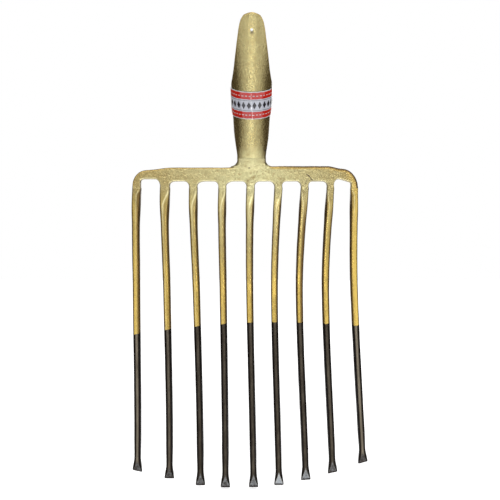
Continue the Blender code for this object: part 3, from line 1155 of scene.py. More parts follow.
        # Tip: hammered flat in front and behind, with a short bevel at its end
        end_bevel = (1.0 - to_tip / self.bevel_length).clamped()
        front = flatten.mixed(half_depth * 1.03, self.front_of_tip) - end_bevel * self.bevel_depth
        back = flatten.mixed(half_depth * 1.03, self.back_of_tip)
        y = raw_y.larger(front * -1.0).smaller(back)
        within = (1.0 - to_tip / self.facet_length) * 1.02 - abs(x) / half_width
        in_front = (raw_y * -1.0 / half_depth).clamped()
        facet = (within / 0.10).clamped() * (in_front * 4.0).clamped() * (1.0 - end_bevel)
        rim = facet * (1.0 - (within / 0.22 - 0.5).clamped())
        tuck = (1.0 - to_tip / self.end_round).clamped()
        tuck = 1.0 - tuck * tuck * 0.14
        x, y = x * tuck, y * tuck

        # Twist, then the bow and the sideways bend
        untwist = ((to_tip - self.untwist_end) / (self.untwist_start - self.untwist_end)).eased()
        twist = ((along - 0.002) / self.twist_length).eased()
        turn = size("Turn") * twist * untwist * self.shown_turn + wobble * 0.10 * settle
        turned_x = x * turn.trig("COSINE") - y * turn.trig("SINE")
        turned_y = x * turn.trig("SINE") + y * turn.trig("COSINE")
        bow, slope = self.bowed(share, length)
        level = (slope * slope + 1.0) ** -0.5
        rest = 1.0 - share
        drift = size("Lean") * share - size("Sway") * share * rest * rest * 6.75
        ragged = noise(tree, vector(tree, turned_x, 0.0, 0.0), 480, size("Seed"), Detail=1.0)
        scorch = ragged * (1.0 - to_tip / 0.0034).clamped()
        ragged = (ragged + 0.45) * (1.0 - to_tip / 0.004).clamped() * 0.0009
        middle = vector(
            tree,
            size("Place") + drift + turned_x,
            bow + turned_y * level + plan.crossbar_middle_y,
            turned_y * slope * level - along - turned_x * size("Slant") * flare + ragged + plan.root_z,
        )

        # What the finish reads, stored before the points move
        across = turned_x / (half_width * 1.12)
        arris, shaded = self.corner_light_and_shade(along, across, settle)
        shaded = shaded * (1.0 - flare * 0.8)
        # Painted shade over the upper bow of the middle tines.
        central = (1.0 - abs(size("Place") - 0.03) / 0.09).clamped()
        shaded = shaded.larger((1.0 - abs(along - 0.020) / 0.020).clamped() * central * 0.30)
        shape = self.blank()
        for name, value in (
            ("facet", facet),
            ("facet_rim", rim),
            ("painted_reflection", size("Shine")),
            ("burnt", (end_bevel * 2.6 + scorch * 5.0 - 0.35).clamped()),
            ("arris", arris),
            ("across", across),
            ("shaded", shaded),
            ("painted_glint", size("Bare")),
        ):
            shape = self.kept(shape, name, value)
        return self.hammered(self.moved(shape, Position=middle))

    def hammered(self, shape: Plug) -> Plug:
        """The bar with small hammer marks, none of them at its joint.

        Args:
            shape: The smooth bar.

        Returns:
            The hammered bar.
        """
        place = self.node("GeometryNodeInputPosition").outputs[0]
        _, _, z = split(self.tree, place)
        marks = noise(self.tree, place, 300, self.size("Seed"), Detail=1.5, Distortion=0.5) - self.level_noise
        return self.raised(shape, marks * self.size("Mark Depth") * self.away_from(z, self.plan.root_z))


@dataclass
class TineRow:
    """The nine tines, each a piece of its own, made by one tree."""

    plan: ForkPlan
    scoop: float = 0.0480
    end_scoop: float = 0.0140
    mark_depth: float = 0.00008
    left_ridge: float = -0.32
    middle_ridge: float = -0.08
    far_ridge: float = 0.12
    end_ridge: float = 0.14
    narrow: float = 0.42
    run: float = 0.022
    end_run: float = 0.009

    def ridge(self, tine: TineSize) -> float:
        """Where the corner's painted highlight runs across a tine, as a share of its half width.

        Args:
            tine: The tine.

        Returns:
            The share, to the right of the middle on the left tines and to the left on the others.
        """
        if tine.turn > 0:
            return self.far_ridge
        if tine is TINES[0]:
            return self.end_ridge
        return min(self.middle_ridge, mix(self.left_ridge, self.middle_ridge, tine.place / 0.5))

    def build(self, material: bpy.types.Material) -> list[bpy.types.Object]:
        """Makes the tines from left to right.

        Args:
            material: Their finish.

        Returns:
            The tines.
        """
        bar = TineTree(self.plan)
        made = []
        for index, tine in enumerate(TINES):
            piece = new_piece(f"forged_tine_{index + 1}")
            offset = 2 * index / (len(TINES) - 1) - 1
            length = self.plan.tine_length * tine.length
            bar.apply(
                piece,
                Place=self.plan.tine_span * (tine.place - self.plan.left_share),
                Root_Width=self.plan.root_width * tine.width,
                Length=length,
                Lean=tine.lean * length,
                Sway=tine.sway * length,
                Scoop=mix(self.scoop, self.end_scoop, offset * offset),
                Slant=tan(radians(tine.slant)),
                Turn=radians(tine.turn),
                Shine=tine.painted_reflection,
                Bare=tine.painted_glint,
                Seed=3.7 * (index + 1),
                Mark_Depth=self.mark_depth,
                Ridge=self.ridge(tine),
                Narrow=self.narrow if tine.turn < 0 else mix(-0.10, 0.60, (tine.place - 0.77) / 0.23),
                Run=self.end_run if abs(offset) > 0.9 else self.run,
                Sharp=1.0 if index == 0 else 0.0,
                Material=material,
            )
            keep_flank_shading(piece, 0.30, 0.90)
            smooth_shaded(piece, 55.0)
            made.append(piece)
        return made


@dataclass
class Crossbar:
    """The forged crossbar with its nine tine stubs and the foot of the neck."""

    plan: ForkPlan
    top_left: float = 0.0098
    top_right: float = 0.0081
    bottom: float = 0.0262
    end_gap_rise: float = 0.0026
    edge_round: float = 0.0022
    neck_fillet: float = 0.0078
    left_slope: tuple = (0.0290, 0.0027)
    left_corner: tuple = (0.0172, 0.0180)
    right_slope: tuple = (-0.0170, 0.0030)
    right_corner: tuple = (-0.0187, 0.0220)
    arc_steps: int = 8
    edge_steps: int = 4
    spare: float = 0.0035
    voxel: float = 0.00062
    top_band: float = 0.0036
    line_width: float = 0.0012
    brow_width: float = 0.0015
    neck_rows: int = 26
    neck_columns: int = 64

    def root_sides(self, tine: TineSize) -> tuple[float, float]:
        """The two sides of a tine's stub.

        Args:
            tine: The tine.

        Returns:
            The left side and the right side.
        """
        middle = self.plan.tine_span * (tine.place - self.plan.left_share)
        half = self.plan.root_width * tine.width / 2
        return middle - half, middle + half

    def arc(self, middle: tuple[float, float], wide: float, high: float, start: float, end: float) -> Outline:
        """Points of an elliptical arc in the front view, from start to end in degrees."""
        turns = [radians(mix(start, end, k / self.arc_steps)) for k in range(self.arc_steps + 1)]
        return [(middle[0] + wide * cos(t), middle[1] + high * sin(t)) for t in turns]

    def end(self, edge_x: float, top: float, corner: tuple, slope: tuple) -> Outline:
        """Outline of one end, from the foot of its rounded corner to its level top.

        Args:
            edge_x: The end's outer side.
            top: Height of the level top.
            corner: Width, positive to the right, and height of the rounded corner.
            slope: Run, positive to the right, and drop of the sloping shoulder.

        Returns:
            The outline's points.
        """
        shoulder_x, shoulder = edge_x + corner[0], top - slope[1]
        points = self.arc((shoulder_x, shoulder - corner[1]), -corner[0], corner[1], 0, 90)
        for k in range(1, self.arc_steps + 1):
            share = k / self.arc_steps
            points.append((shoulder_x + slope[0] * share, mix(shoulder, top, ease(share))))
        return points

    def tops(self) -> tuple[float, float]:
        """Heights of the level top, right and left of the neck."""
        return self.plan.neck_z - self.top_right, self.plan.neck_z - self.top_left

    def ends(self) -> tuple[Outline, Outline]:
        """Outlines of the two ends, each from its foot up to the level top.

        Returns:
            The right end and the left end.
        """
        right_top, left_top = self.tops()
        return (
            self.end(self.root_sides(TINES[-1])[1], right_top, self.right_corner, self.right_slope),
            self.end(self.root_sides(TINES[0])[0], left_top, self.left_corner, self.left_slope),
        )

    def outline(self) -> tuple[Outline, set[int]]:
        """The crossbar's front outline.

        Returns:
            The points, and the indices of the stubs' lower corners.
        """
        plan = self.plan
        low = plan.root_z - self.spare
        points: Outline = []
        corners: set[int] = set()
        for k, tine in enumerate(TINES):
            left, right = self.root_sides(tine)
            corners.update((len(points), len(points) + 1))
            points += [(left, low), (right, low)]
            if k == len(TINES) - 1:
                break
            next_left = self.root_sides(TINES[k + 1])[0]
            rise = self.end_gap_rise if k in (0, len(TINES) - 2) else 0.0
            gap = GAPS[k]
            top = plan.neck_z - self.bottom + rise
            wide, high = gap.left
            points += self.arc((right + wide, top - high), wide, high, 180, 90)
            wide, high = gap.right
            points += self.arc((next_left - wide, top - gap.slope - high), wide, high, 90, 0)
        right_top, left_top = self.tops()
        right_end, left_end = self.ends()
        points += right_end + [(plan.neck_width, right_top), (-plan.neck_width, left_top)] + left_end[::-1]
        return points, corners

    def plate(self) -> list[list[Point]]:
        """The plate, with rounded edges.

        Returns:
            Its rings, from its front to its back.
        """
        outline, corners = self.outline()
        turns = [pi / 2 * k / self.edge_steps for k in range(self.edge_steps + 1)]
        edge = [(self.edge_round * (1 - sin(t)), self.edge_round * (1 - cos(t))) for t in turns]
        thickness = self.plan.crossbar_thickness
        layers = edge + [(inset, thickness - depth) for inset, depth in reversed(edge)]
        rings = []
        for inset, depth in layers:
            ring = []
            y = self.plan.crossbar_front_y + depth
            for k, (x, z) in enumerate(outline):
                before, after = outline[k - 1], outline[(k + 1) % len(outline)]
                if k in corners:
                    ring.append((x + (inset if after[1] == z else -inset), y, z))
                    continue
                run_x, run_z = after[0] - before[0], after[1] - before[1]
                size = hypot(run_x, run_z)
                ring.append((x - inset * run_z / size, y, z + inset * run_x / size))
            rings.append(ring)
        return rings

    def neck(self) -> list[list[Point]]:
        """The neck's foot, which widens into the bar.

        Returns:
            Its rings, from above its joint down into the bar.
        """
        plan = self.plan
        seat_y = float(plan.neck_front[1]) + plan.neck_depth / 2
        foot = self.bottom - self.end_gap_rise * 2
        foot_half_depth = plan.crossbar_thickness / 2 - self.edge_round / 4
        turns = [2 * pi * k / self.neck_columns for k in range(self.neck_columns)]
        rings = []
        for row in range(-1, self.neck_rows + 1):
            drop = foot * row / self.neck_rows if row >= 0 else -self.spare
            climb = min(1.0, max(0.0, 1 - (self.top_right - drop) / self.neck_fillet))
            half_width = plan.neck_width / 2 + self.neck_fillet * (1 - (1 - climb * climb) ** 0.5)
            share = ease(drop / foot)
            half_depth = mix(plan.neck_depth / 2, foot_half_depth, share)
            middle_y = mix(seat_y, plan.crossbar_middle_y, share)
            z = plan.neck_z - drop
            rings.append([(half_width * cos(t), middle_y + half_depth * sin(t), z) for t in turns])
        return rings

    def trimmed(self, piece: bpy.types.Object) -> None:
        """Cuts the spare metal off at the joints and closes each cut flat.

        Args:
            piece: The crossbar.
        """
        shape = bmesh.new()
        shape.from_mesh(piece.data)
        for height, way in ((self.plan.neck_z, 1), (self.plan.root_z, -1)):
            cut = bmesh.ops.bisect_plane(
                shape, geom=[*shape.verts, *shape.edges, *shape.faces], dist=1e-7,
                plane_co=(0, 0, height), plane_no=(0, 0, way), clear_outer=True,
            )
            rim = [item for item in cut["geom_cut"] if isinstance(item, bmesh.types.BMEdge)]
            bmesh.ops.holes_fill(shape, edges=rim, sides=0)
        bmesh.ops.recalc_face_normals(shape, faces=shape.faces)
        shape.to_mesh(piece.data)
        shape.free()

    def build(self, marks: ForgeMarks, material: bpy.types.Material) -> bpy.types.Object:
        """Makes the crossbar.

        Args:
            marks: The tree that makes its surface uneven.
            material: Its finish.

        Returns:
            The crossbar.
        """
        points, faces = lofted(self.plate())
        more_points, more_faces = lofted(self.neck(), start=len(points))
        piece = new_piece("forged_crossbar", points + more_points, faces + more_faces)
        fuse = piece.modifiers.new("fuse", "REMESH")
        fuse.mode = "VOXEL"
        fuse.voxel_size = self.voxel
        soften = piece.modifiers.new("soften", "SMOOTH")
        soften.factor = 0.5
        soften.iterations = 6
        freeze(piece)
        self.trimmed(piece)
        marks.apply(
            piece, Wave_Depth=0.0006, Mark_Depth=0.00022, Upper_Joint=self.plan.neck_z,
            Lower_Joint=self.plan.root_z, Seed=2.0, Material=material,
        )
        at = self.plan.photo_point
        scarred(
            piece,
            (
                Scar(at(307.0, 174.5), at(308.6, 175.6), 0.0007, 0.0007),
                Scar(at(308.6, 175.6), at(312.3, 180.0), 0.0006, 0.0006),
                Scar(at(312.3, 180.0), at(317.5, 180.6), 0.0005, 0.0004),
                Scar(at(305.6, 184.0), at(307.2, 179.0), 0.0005, 0.0004),
                Scar(at(248.9, 168.0), at(249.5, 168.0), 0.0007, 0.0006),
            ),
        )
        self.keep_rims(piece)
        keep_flank_shading(piece, 0.35, 0.95)
        smooth_shaded(piece, 50.0)
        return piece

    def keep_rims(self, piece: bpy.types.Object) -> None:
        """Stores where the rounded edges lie, for a painted highlight round the gaps and painted shade along
        the top.

        Args:
            piece: The crossbar.
        """
        mesh = piece.data
        points, normals = coordinates(mesh), coordinates(mesh, "normal")
        turned = np.clip(1 - np.abs(-normals[:, 1] - 0.66) / 0.34, 0, 1)
        upward = np.clip(normals[:, 2] * 3 - 0.6, 0, 1)
        neck_side = self.plan.neck_width / 2 + self.neck_fillet
        right_top, left_top = self.tops()
        right_end, left_end = self.ends()
        flat = points[:, (0, 2)]
        from_right = distance_to(flat, right_end + [(neck_side, right_top)])
        from_left = distance_to(flat, left_end + [(-neck_side, left_top)])
        band = np.clip(4.0 - 3.2 * from_right / self.top_band, 0, 1)
        line = np.clip(2.2 - from_left / self.line_width, 0, 1)
        brow = np.clip(2.2 - from_right / self.brow_width, 0, 1)
        on_right = np.clip((points[:, 0] - 0.020) / 0.030, 0, 1)
        edge = np.clip((normals[:, 2] - 0.22) / 0.25, 0, 1)
        # Painted highlight on the rounded edges that face down round the gaps.
        store(mesh, "rim", turned * (1 - upward) * np.clip(-normals[:, 2] * 2 + 0.5, 0, 1))
        # Painted shade as a band along the top edge.
        store(mesh, "top_rim", np.maximum(band, line))
        # Painted shade as a dark line on the upward-facing top edge, darker to the right.
        store(mesh, "top_line", np.maximum(edge * (0.55 + 0.45 * on_right), brow * 0.95 * on_right))


@dataclass
class Socket:
    """The rolled socket with its long tongue, open seam, nail hole and solid neck."""

    plan: ForkPlan
    tongue_height: float = 0.1312
    back_height: float = 0.028
    wall: float = 0.0030
    base_wall: float = 0.0044
    floor_round: float = 0.0035
    tongue_edge: tuple = (
        (18, 0.97), (25, 0.925), (29.5, 0.865), (37.5, 0.67), (46, 0.465), (57, 0.245), (69, 0.115),
    )
    seam_foot_height: float = 0.006
    seam_foot_width: float = 0.0008
    seam_mouth_width: float = 0.0045
    hole_height: float = 0.113
    hole_radius: float = 0.0015
    columns: int = 88
    neck_rows: int = 36
    wall_rows: int = 96
    rim_steps: int = 8
    rim_height_round: float = 0.0011
    hole_steps: int = 40
    seam_steps: int = 13
    fine_steps: int = 720

    def radius(self, height: float) -> float:
        """The outer radius at a height above the bore's floor."""
        return self.plan.shoulder_radius + self.plan.mouth_slope * height

    def bore(self, height: float) -> float:
        """The bore's radius at a height."""
        return self.radius(height) - mix(self.base_wall, self.wall, ease(height / self.back_height))

    def rim(self, angle: float) -> float:
        """Height of the mouth's rim.

        Args:
            angle: Angle from the front, in degrees.

        Returns:
            The height above the bore's floor.
        """
        side = self.plan.mouth_side_height
        knots = [(0, self.tongue_height)]
        knots += [(turn, mix(side, self.tongue_height, share)) for turn, share in self.tongue_edge]
        knots += [(90, side), (180, self.back_height)]
        turns, heights = zip(*knots)
        slopes = [0.0]
        for k in range(1, len(knots) - 1):
            before = (heights[k] - heights[k - 1]) / (turns[k] - turns[k - 1])
            after = (heights[k + 1] - heights[k]) / (turns[k + 1] - turns[k])
            slopes.append(2 * before * after / (before + after))
        slopes.append(0.0)
        k = min(len(knots) - 2, max(0, int(np.searchsorted(turns, angle, side="right")) - 1))
        span = turns[k + 1] - turns[k]
        t = (angle - turns[k]) / span
        return (
            (1 + 2 * t) * (1 - t) ** 2 * heights[k]
            + t * (1 - t) ** 2 * span * slopes[k]
            + t * t * (3 - 2 * t) * heights[k + 1]
            - t * t * (1 - t) * span * slopes[k + 1]
        )

    def fine_rim(self) -> tuple[np.ndarray, np.ndarray]:
        """The rim at closely spaced angles.

        Returns:
            The angles, from the front to the back, and the rim's heights there.
        """
        fine = np.linspace(0, 180, self.fine_steps + 1)
        return fine, np.array([self.rim(angle) for angle in fine])

    def angles(self) -> list[float]:
        """Angles of the columns, in a full turn.

        Returns:
            The angles, evenly spaced along the rim.
        """
        fine, heights = self.fine_rim()
        step = self.radius(self.plan.mouth_side_height) * np.radians(np.diff(fine))
        length = np.concatenate([[0], np.cumsum(np.hypot(step, np.diff(heights)))])
        half = np.interp(np.linspace(0, length[-1], self.columns + 1), length, fine)
        return list(half) + [-angle for angle in half[-2:0:-1]]

    def point(self, height: float, angle: float, radius: float) -> np.ndarray:
        """A point round the socket's axis, its angle in degrees from the front."""
        turn = radians(angle)
        return height * self.plan.axis + radius * (cos(turn) * self.plan.front + sin(turn) * SIDEWAYS)

    def neck_section(self, share: float, angles: list[float]) -> list[np.ndarray]:
        """A section of the solid neck.

        Args:
            share: 0 at the neck's seat, and 1 at the shoulder.
            angles: Angles of the columns.

        Returns:
            The section's points.
        """
        plan = self.plan
        shoulder_front = plan.shoulder_radius * plan.front
        front = plan.neck_front + (shoulder_front - plan.neck_front) * share
        tilt = plan.socket_lean * ease(share)
        outward = np.array((0.0, -cos(tilt), -sin(tilt)))
        half_width = mix(plan.neck_width / 2, plan.shoulder_radius, ease(share))
        half_depth = mix(plan.neck_depth / 2, plan.shoulder_radius, ease(share))
        middle = front - half_depth * outward
        turns = [radians(angle) for angle in angles]
        return [middle + half_depth * cos(t) * outward + half_width * sin(t) * SIDEWAYS for t in turns]

    def rings(self) -> list[list[np.ndarray]]:
        """The socket's whole surface.

        Returns:
            Its rings, up the outside, over the rounded rim, down the bore and into its floor.
        """
        angles = self.angles()
        rims = [self.rim(abs(angle)) for angle in angles]
        edge = self.rim_height_round
        rings = [self.neck_section(row / self.neck_rows, angles) for row in range(self.neck_rows)]
        for row in range(self.wall_rows + 1):
            heights = [(rim - edge) * row / self.wall_rows for rim in rims]
            rings.append([self.point(h, a, self.radius(h)) for h, a in zip(heights, angles)])
        for step in range(1, self.rim_steps):
            turn = pi * step / self.rim_steps
            ring = []
            for angle, rim in zip(angles, rims):
                outer, inner = self.radius(rim), self.bore(rim)
                radius = (outer + inner) / 2 + (outer - inner) / 2 * cos(turn)
                ring.append(self.point(rim - edge * (1 - sin(turn)), angle, radius))
            rings.append(ring)
        for row in reversed(range(self.wall_rows + 1)):
            heights = [mix(self.floor_round, rim - edge, row / self.wall_rows) for rim in rims]
            rings.append([self.point(h, a, self.bore(h)) for h, a in zip(heights, angles)])
        foot = self.bore(self.floor_round)
        for step in range(1, self.rim_steps + 1):
            turn = pi / 2 * step / self.rim_steps
            height = self.floor_round * (1 - sin(turn))
            radius = foot - self.floor_round * (1 - cos(turn))
            rings.append([self.point(height, angle, radius) for angle in angles])
        for share in (0.8, 0.6, 0.4, 0.2):
            radius = (foot - self.floor_round) * share
            rings.append([self.point(0.0, angle, radius) for angle in angles])
        return rings

    def cut(self, piece: bpy.types.Object, rings: Sequence[Sequence[Point]]) -> None:
        """Cuts a lofted body out of the socket.

        Args:
            piece: The socket.
            rings: The body's rings.
        """
        cutter = new_piece("socket_cutter", *lofted(rings))
        step = piece.modifiers.new("cut", "BOOLEAN")
        step.operation = "DIFFERENCE"
        step.solver = "EXACT"
        step.object = cutter
        freeze(piece)
        bpy.data.objects.remove(cutter, do_unlink=True)

    def cut_hole(self, piece: bpy.types.Object) -> None:
        """Cuts the nail hole square through the tongue, and marks its wall for painted shade.

        Args:
            piece: The socket.
        """
        middle_radius = self.radius(self.hole_height) - self.wall / 2
        turns = [2 * pi * k / self.hole_steps for k in range(self.hole_steps)]
        rings = []
        for depth, flare in ((-2.0, 1.0), (-0.3, 1.0), (0.3, 1.0), (0.5, 1.12), (2.0, 1.12)):
            middle = self.point(self.hole_height, 0, middle_radius + depth * self.wall)
            ring = []
            for turn in turns:
                size = self.hole_radius * flare * (1 + 0.03 * sin(3 * turn))
                ring.append(middle + size * (cos(turn) * SIDEWAYS + sin(turn) * self.plan.axis))
            rings.append(ring)
        self.cut(piece, rings)

        # Painted shade on the hole's wall.
        points = coordinates(piece.data)
        heights = points @ self.plan.axis - self.hole_height
        depths = self.radius(self.hole_height) - points @ self.plan.front
        inside = np.hypot(points[:, 0], heights) < self.hole_radius * 1.25
        inside &= (depths > 0.0004) & (depths < 0.01)
        scars = np.empty(len(points), dtype=np.float32)
        kept = piece.data.attributes["scar_and_shade"].data
        kept.foreach_get("value", scars)
        scars[inside] = 1.0
        kept.foreach_set("value", scars)

    def cut_seam(self, piece: bpy.types.Object) -> None:
        """Cuts the open seam up the back, where the rolled sheet's edges meet.

        Args:
            piece: The socket.
        """
        top = 2 * self.back_height - self.seam_foot_height
        foot_half = self.seam_foot_width / 2
        top_half = self.seam_mouth_width - foot_half
        sides = []
        for k, height in enumerate(np.linspace(self.seam_foot_height, top, self.seam_steps + 1)):
            sides.append((height, mix(foot_half, top_half, k / self.seam_steps) + 0.0002 * sin(9.0 * k)))
        outline = sides + [(height, -x) for height, x in reversed(sides)]
        axis, front = self.plan.axis, self.plan.front
        rings = []
        for depth in (self.radius(0) - 2 * self.base_wall, self.radius(self.back_height) + self.wall):
            rings.append([height * axis - depth * front + x * SIDEWAYS for height, x in outline])
        self.cut(piece, rings)

    def keep_rim(self, piece: bpy.types.Object) -> None:
        """Stores where the mouth's outer edge lies, on which painted shade turns the paint brown.

        Args:
            piece: The socket.
        """
        points = coordinates(piece.data)
        heights = points @ self.plan.axis
        turns = np.degrees(np.arctan2(np.abs(points[:, 0]), points @ self.plan.front))
        fine, rims = self.fine_rim()
        slopes = np.gradient(rims, np.radians(fine) * self.plan.mouth_radius)
        away = np.interp(turns, fine, rims) - heights
        away /= np.hypot(1, np.interp(turns, fine, slopes))
        store(piece.data, "top_rim", np.clip(1.5 - np.abs(away) / 0.0009, 0, 1))

    def build(self, marks: ForgeMarks, material: bpy.types.Material) -> bpy.types.Object:
        """Makes the socket.

        Args:
            marks: The tree that makes its surface uneven.
            material: Its finish.

        Returns:
            The socket.
        """
        piece = new_piece("rolled_socket", *lofted(self.rings()))
        marks.apply(
            piece, Wave_Depth=0.0003, Mark_Depth=0.0003, Upper_Joint=1.0,
            Lower_Joint=self.plan.neck_z, Seed=2.0, Material=material,
        )
        at = self.plan.photo_point
        _, _, foot = self.point(self.hole_height - 0.0024, 0, self.radius(self.hole_height))
        scarred(
            piece,
            (
                Scar(at(250.0, 159.4), at(256.5, 159.8), 0.0006, 0.00035),
                Scar(at(256.5, 159.8), at(262.5, 158.4), 0.0006, 0.00030),
                Scar(at(265.4, 151.0), at(267.0, 149.6), 0.0012, 0.0007),
                Scar(at(240.5, 138.5), at(241.0, 139.0), 0.0008, 0.0003),
                # A dark mark under the nail hole: painted shadow.
                Scar((-0.0006, foot), (0.0012, foot), 0.0009, 0.0008),
            ),
        )
        self.keep_rim(piece)
        keep_flank_shading(piece, 0.22, 0.95)
        self.cut_hole(piece)
        self.cut_seam(piece)
        smooth_shaded(piece, 42.0)
        return piece


@dataclass
class LabelBand:
    """A paper label glued round the front of the socket, with a few soft wrinkles."""

    socket: Socket
    foot_height: float = 0.0152
    width: float = 0.0312
    thickness: float = 0.0003
    gap: float = 0.0002
    half_angle: float = 92.0
    columns: int = 150
    rows: int = 36
    nick_angle: float = -80.0

    def height(self, share: float, angle: float) -> float:
        """Height of a point of the label, with a small nick in its upper left edge.

        Args:
            share: 0 at the lower edge, and 1 at the upper one.
            angle: Angle from the front, in degrees.

        Returns:
            The height above the bore's floor.
        """
        nick = 0.0011 * np.exp(-(((angle - self.nick_angle) / 5.0) ** 2)) * share**8
        ripple = 0.00012 * sin(angle * 0.31) * (2 * share - 1)
        return self.foot_height + self.width * share - nick + ripple

    def lift(self, share: float, angle: float) -> float:
        """How far a point of the label stands off the metal.

        Args:
            share: 0 at the lower edge, and 1 at the upper one.
            angle: Angle from the front, in degrees.

        Returns:
            The distance.
        """
        near_end = ease((abs(angle) - self.half_angle + 8) / 8)
        wrinkle = 0.00009 * (sin(angle * 0.42 + 3 * share) + sin(angle * 0.173 - 5 * share) + 2)
        return self.gap + wrinkle * ease(min(share, 1 - share) * 6 + 0.3) + 0.00025 * near_end

    def build(self, material: bpy.types.Material) -> bpy.types.Object:
        """Makes the label.

        Args:
            material: Its finish.

        Returns:
            The label.
        """
        points, spots = [], []
        for row in range(self.rows + 1):
            share = row / self.rows
            for column in range(self.columns + 1):
                angle = mix(-self.half_angle, self.half_angle, column / self.columns)
                height = self.height(share, angle)
                radius = self.socket.radius(height) + self.lift(share, angle)
                points.append(self.socket.point(height, angle, radius))
                spots.append((column / self.columns, share))
        count = self.columns + 1
        faces = [
            (low + k, low + k + 1, low + count + k + 1, low + count + k)
            for low in range(0, self.rows * count, count)
            for k in range(self.columns)
        ]
        piece = new_piece("paper_label_band", points, faces)
        if coordinates(piece.data, "normal").dot(self.socket.plan.front).mean() < 0:
            piece.data.flip_normals()
        layer = piece.data.uv_layers.new(name="label")
        for loop in piece.data.loops:
            layer.data[loop.index].uv = spots[loop.vertex_index]
        piece.data.materials.append(material)
        thicken = piece.modifiers.new("thicken", "SOLIDIFY")
        thicken.thickness = self.thickness
        thicken.offset = 1.0
        freeze(piece)
        smooth_shaded(piece, 50.0)
        return piece


# Studio


class Studio:
    """The camera of the photograph's view, a pale floor, soft lamps and cards for the gloss."""

    image_size = 500
    focal_pixels = 739.0
    distance = 0.850
    camera_x = -0.0018
    camera_z = -0.14184
    sensor = 36.0
    floor_z = -0.4205
    floor_half = 6.0
    card_x = 0.55
    left_card_start = -0.20
    right_card_start = -0.12
    card_level = 16.5
    wall_y = -1.50
    wall_middle = 1.42
    wall_side = 0.27

    def __init__(self, plan: ForkPlan) -> None:
        """Keeps the fork's shared sizes."""
        self.plan = plan

    def build(self) -> None:
        """Sets up everything round the fork."""
        self.add_camera()
        self.add_floor()
        self.add_world()
        self.add_cards()
        self.add_wall()
        self.add_lamp("key", (0.15, -1.15, 1.25), (1.0, 0.7), 22.0)
        self.add_lamp("left_fill", (-1.50, -1.20, 0.50), (1.0, 1.2), 5.0)
        self.add_lamp("right_fill", (1.50, -1.20, 0.40), (1.0, 1.2), 6.0)
        self.add_lamp("rear", (0.6, 1.60, 0.60), (1.2, 1.0), 8.0)
        bpy.context.scene.view_settings.view_transform = "Standard"

    def add_camera(self) -> None:
        """The camera, level and square to the fork."""
        data = bpy.data.cameras.new("camera")
        data.sensor_width = self.sensor
        data.lens = self.sensor * self.focal_pixels / self.image_size
        camera = bpy.data.objects.new("camera", data)
        camera.location = (self.camera_x, self.plan.crossbar_front_y - self.distance, self.camera_z)
        camera.rotation_euler = (pi / 2, 0, 0)
        bpy.context.collection.objects.link(camera)
        bpy.context.scene.camera = camera

    @staticmethod
    def seen_directly(tree: Tree) -> Formula:
        """Where a surface or the world is looked at, or seen in metal or through glass.

        Args:
            tree: The node tree that asks.

        Returns:
            1 where it is, and 0 elsewhere.
        """
        path = tree.nodes.new("ShaderNodeLightPath")
        camera, glossy, through = (
            Formula(tree, path.outputs[f"Is {kind} Ray"]) for kind in ("Camera", "Glossy", "Transmission")
        )
        return camera.larger(glossy).larger(through)

    def add_world(self) -> None:
        """White where it is seen, and a soft dim light elsewhere."""
        world = bpy.data.worlds.new("studio")
        bpy.context.scene.world = world
        world.use_nodes = True
        tree = world.node_tree
        level = self.seen_directly(tree).mixed(0.40, 1.0)
        plug(tree, tree.nodes["Background"].inputs["Color"], (1.0, 1.0, 1.0, 1.0))
        plug(tree, tree.nodes["Background"].inputs["Strength"], level)

    @staticmethod
    def glow(finish: Finish, colour: tuple, strength: Number) -> bpy.types.Material:
        """Ends a material that only glows.

        Args:
            finish: The material.
            colour: Its colour.
            strength: How bright it is.

        Returns:
            The material.
        """
        finish.set(
            Base_Color=(0.0, 0.0, 0.0, 1.0), Specular_IOR_Level=0.0,
            Emission_Color=(*colour, 1.0), Emission_Strength=strength,
        )
        return finish.material

    def add_floor(self) -> None:
        """A wide pale floor below the tips, which keeps the fork's shadow."""
        half = self.floor_half
        corners = [(x * half, y * half, self.floor_z) for x, y in ((-1, -1), (1, -1), (1, 1), (-1, 1))]
        floor = new_piece("floor", corners, [(0, 1, 2, 3)])
        finish = Finish("pale_floor")
        x, y, _ = split(finish.tree, finish.place)
        far = (((x * x + y * y) ** 0.5 - 0.4) / 2.0).clamped()
        glow = self.seen_directly(finish.tree) * far.mixed(0.58, 0.80)
        finish.set(
            Base_Color=(0.86, 0.86, 0.86, 1.0), Roughness=0.9, Specular_IOR_Level=0.0,
            Emission_Color=(1.0, 1.0, 1.0, 1.0), Emission_Strength=glow,
        )
        floor.data.materials.append(finish.material)

    def add_cards(self) -> None:
        """Dark cards beside the fork and a bright one low in front, which only its gloss sees."""
        dark = self.glow(Finish("dark_card"), (0.15, 0.115, 0.070), 1.0)
        bright = self.glow(Finish("bright_card"), (1.0, 1.0, 0.96), self.card_level)
        for name, x, start in (
            ("left_card", -self.card_x, self.left_card_start),
            ("right_card", self.card_x, self.right_card_start),
        ):
            corners = [(x, y, z) for y, z in ((start, -1.2), (1.6, -1.2), (1.6, 1.0), (start, 1.0))]
            self.add_card(name, corners, dark)
        low = self.floor_z + 0.01
        corners = [(x, y, low) for x, y in ((-0.018, -0.90), (0.024, -0.90), (0.024, -0.22), (-0.018, -0.22))]
        self.add_card("front_card", corners, bright)

    def add_wall(self) -> None:
        """A wall behind the camera, bright in its middle, which models flat metal by its gloss."""
        wall = Finish("graded_wall")
        x, _, _ = split(wall.tree, wall.place)
        level = ((abs(x + 0.035) - 0.12) / 0.50).eased().mixed(self.wall_middle, self.wall_side)
        material = self.glow(wall, (1.0, 1.0, 0.97), level)
        corners = [(x, self.wall_y, z) for x, z in ((-1.2, -0.40), (1.2, -0.40), (1.2, 0.45), (-1.2, 0.45))]
        self.add_card("graded_wall", corners, material)

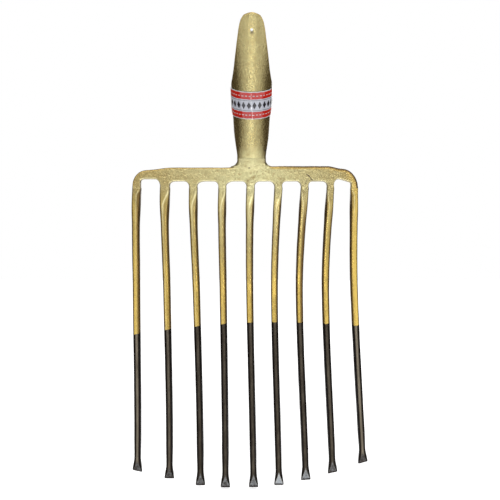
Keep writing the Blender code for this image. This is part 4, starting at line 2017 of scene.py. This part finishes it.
    @staticmethod
    def add_card(name: str, corners: Sequence[Point], material: bpy.types.Material) -> None:
        """One card that only gloss sees.

        Args:
            name: The card's name.
            corners: Its four corners.
            material: Its finish.
        """
        card = new_piece(name, corners, [(0, 1, 2, 3)])
        card.data.materials.append(material)
        card.visible_camera = False
        card.visible_diffuse = False
        card.visible_transmission = False
        card.visible_shadow = False

    def add_lamp(self, name: str, place: tuple, size: tuple, power: float) -> None:
        """A soft lamp that points at the fork.

        Args:
            name: The lamp's name.
            place: Where it stands.
            size: Its width and height.
            power: Its power in watts.
        """
        data = bpy.data.lights.new(name, "AREA")
        data.shape = "RECTANGLE"
        data.size, data.size_y = size
        data.energy = power
        lamp = bpy.data.objects.new(name, data)
        lamp.visible_camera = False
        lamp.location = place
        aim = Vector((0.0, 0.0, self.camera_z)) - Vector(place)
        lamp.rotation_euler = aim.to_track_quat("-Z", "Y").to_euler()
        bpy.context.collection.objects.link(lamp)


def keep_inside(piece: bpy.types.Object) -> None:
    """Presses any point that stands proud of the frame's box back to its side.

    Args:
        piece: The piece.
    """
    mesh = piece.data
    low, high = (np.array(corner) for corner in CAD_BOX)
    mesh.vertices.foreach_set("co", np.clip(coordinates(mesh), low, high).astype(np.float32).ravel())
    mesh.update()


def dress(piece: bpy.types.Object, part: Part, node: str) -> None:
    """Makes a finished piece stand for its node.

    Args:
        piece: The finished piece.
        part: The piece's finish. Not used.
        node: The node's name.
    """
    keep_inside(piece)
    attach(piece, "root")
    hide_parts(node)
    LOG.info("%s stands for %s: %d faces", piece.name, node, len(piece.data.polygons))


def main() -> None:
    """Builds the fork piece by piece, then the studio round it."""
    logging.basicConfig(level=logging.INFO, format="%(message)s")
    plan = ForkPlan()
    gold = GoldPaint().build(plan)
    tine_finish = TineFinish().build(plan)
    paper = PaperLabel().build()
    marks = ForgeMarks()

    socket = Socket(plan)
    dress(socket.build(marks, gold), Part.GOLD, "socket")
    dress(Crossbar(plan).build(marks, gold), Part.GOLD, "crossbar")
    for index, tine in enumerate(TineRow(plan).build(tine_finish)):
        dress(tine, Part.TINE, f"tine_{index + 1}")
    dress(LabelBand(socket).build(paper), Part.LABEL, "label_band")
    Studio(plan).build()


if __name__ == "__main__":
    main()
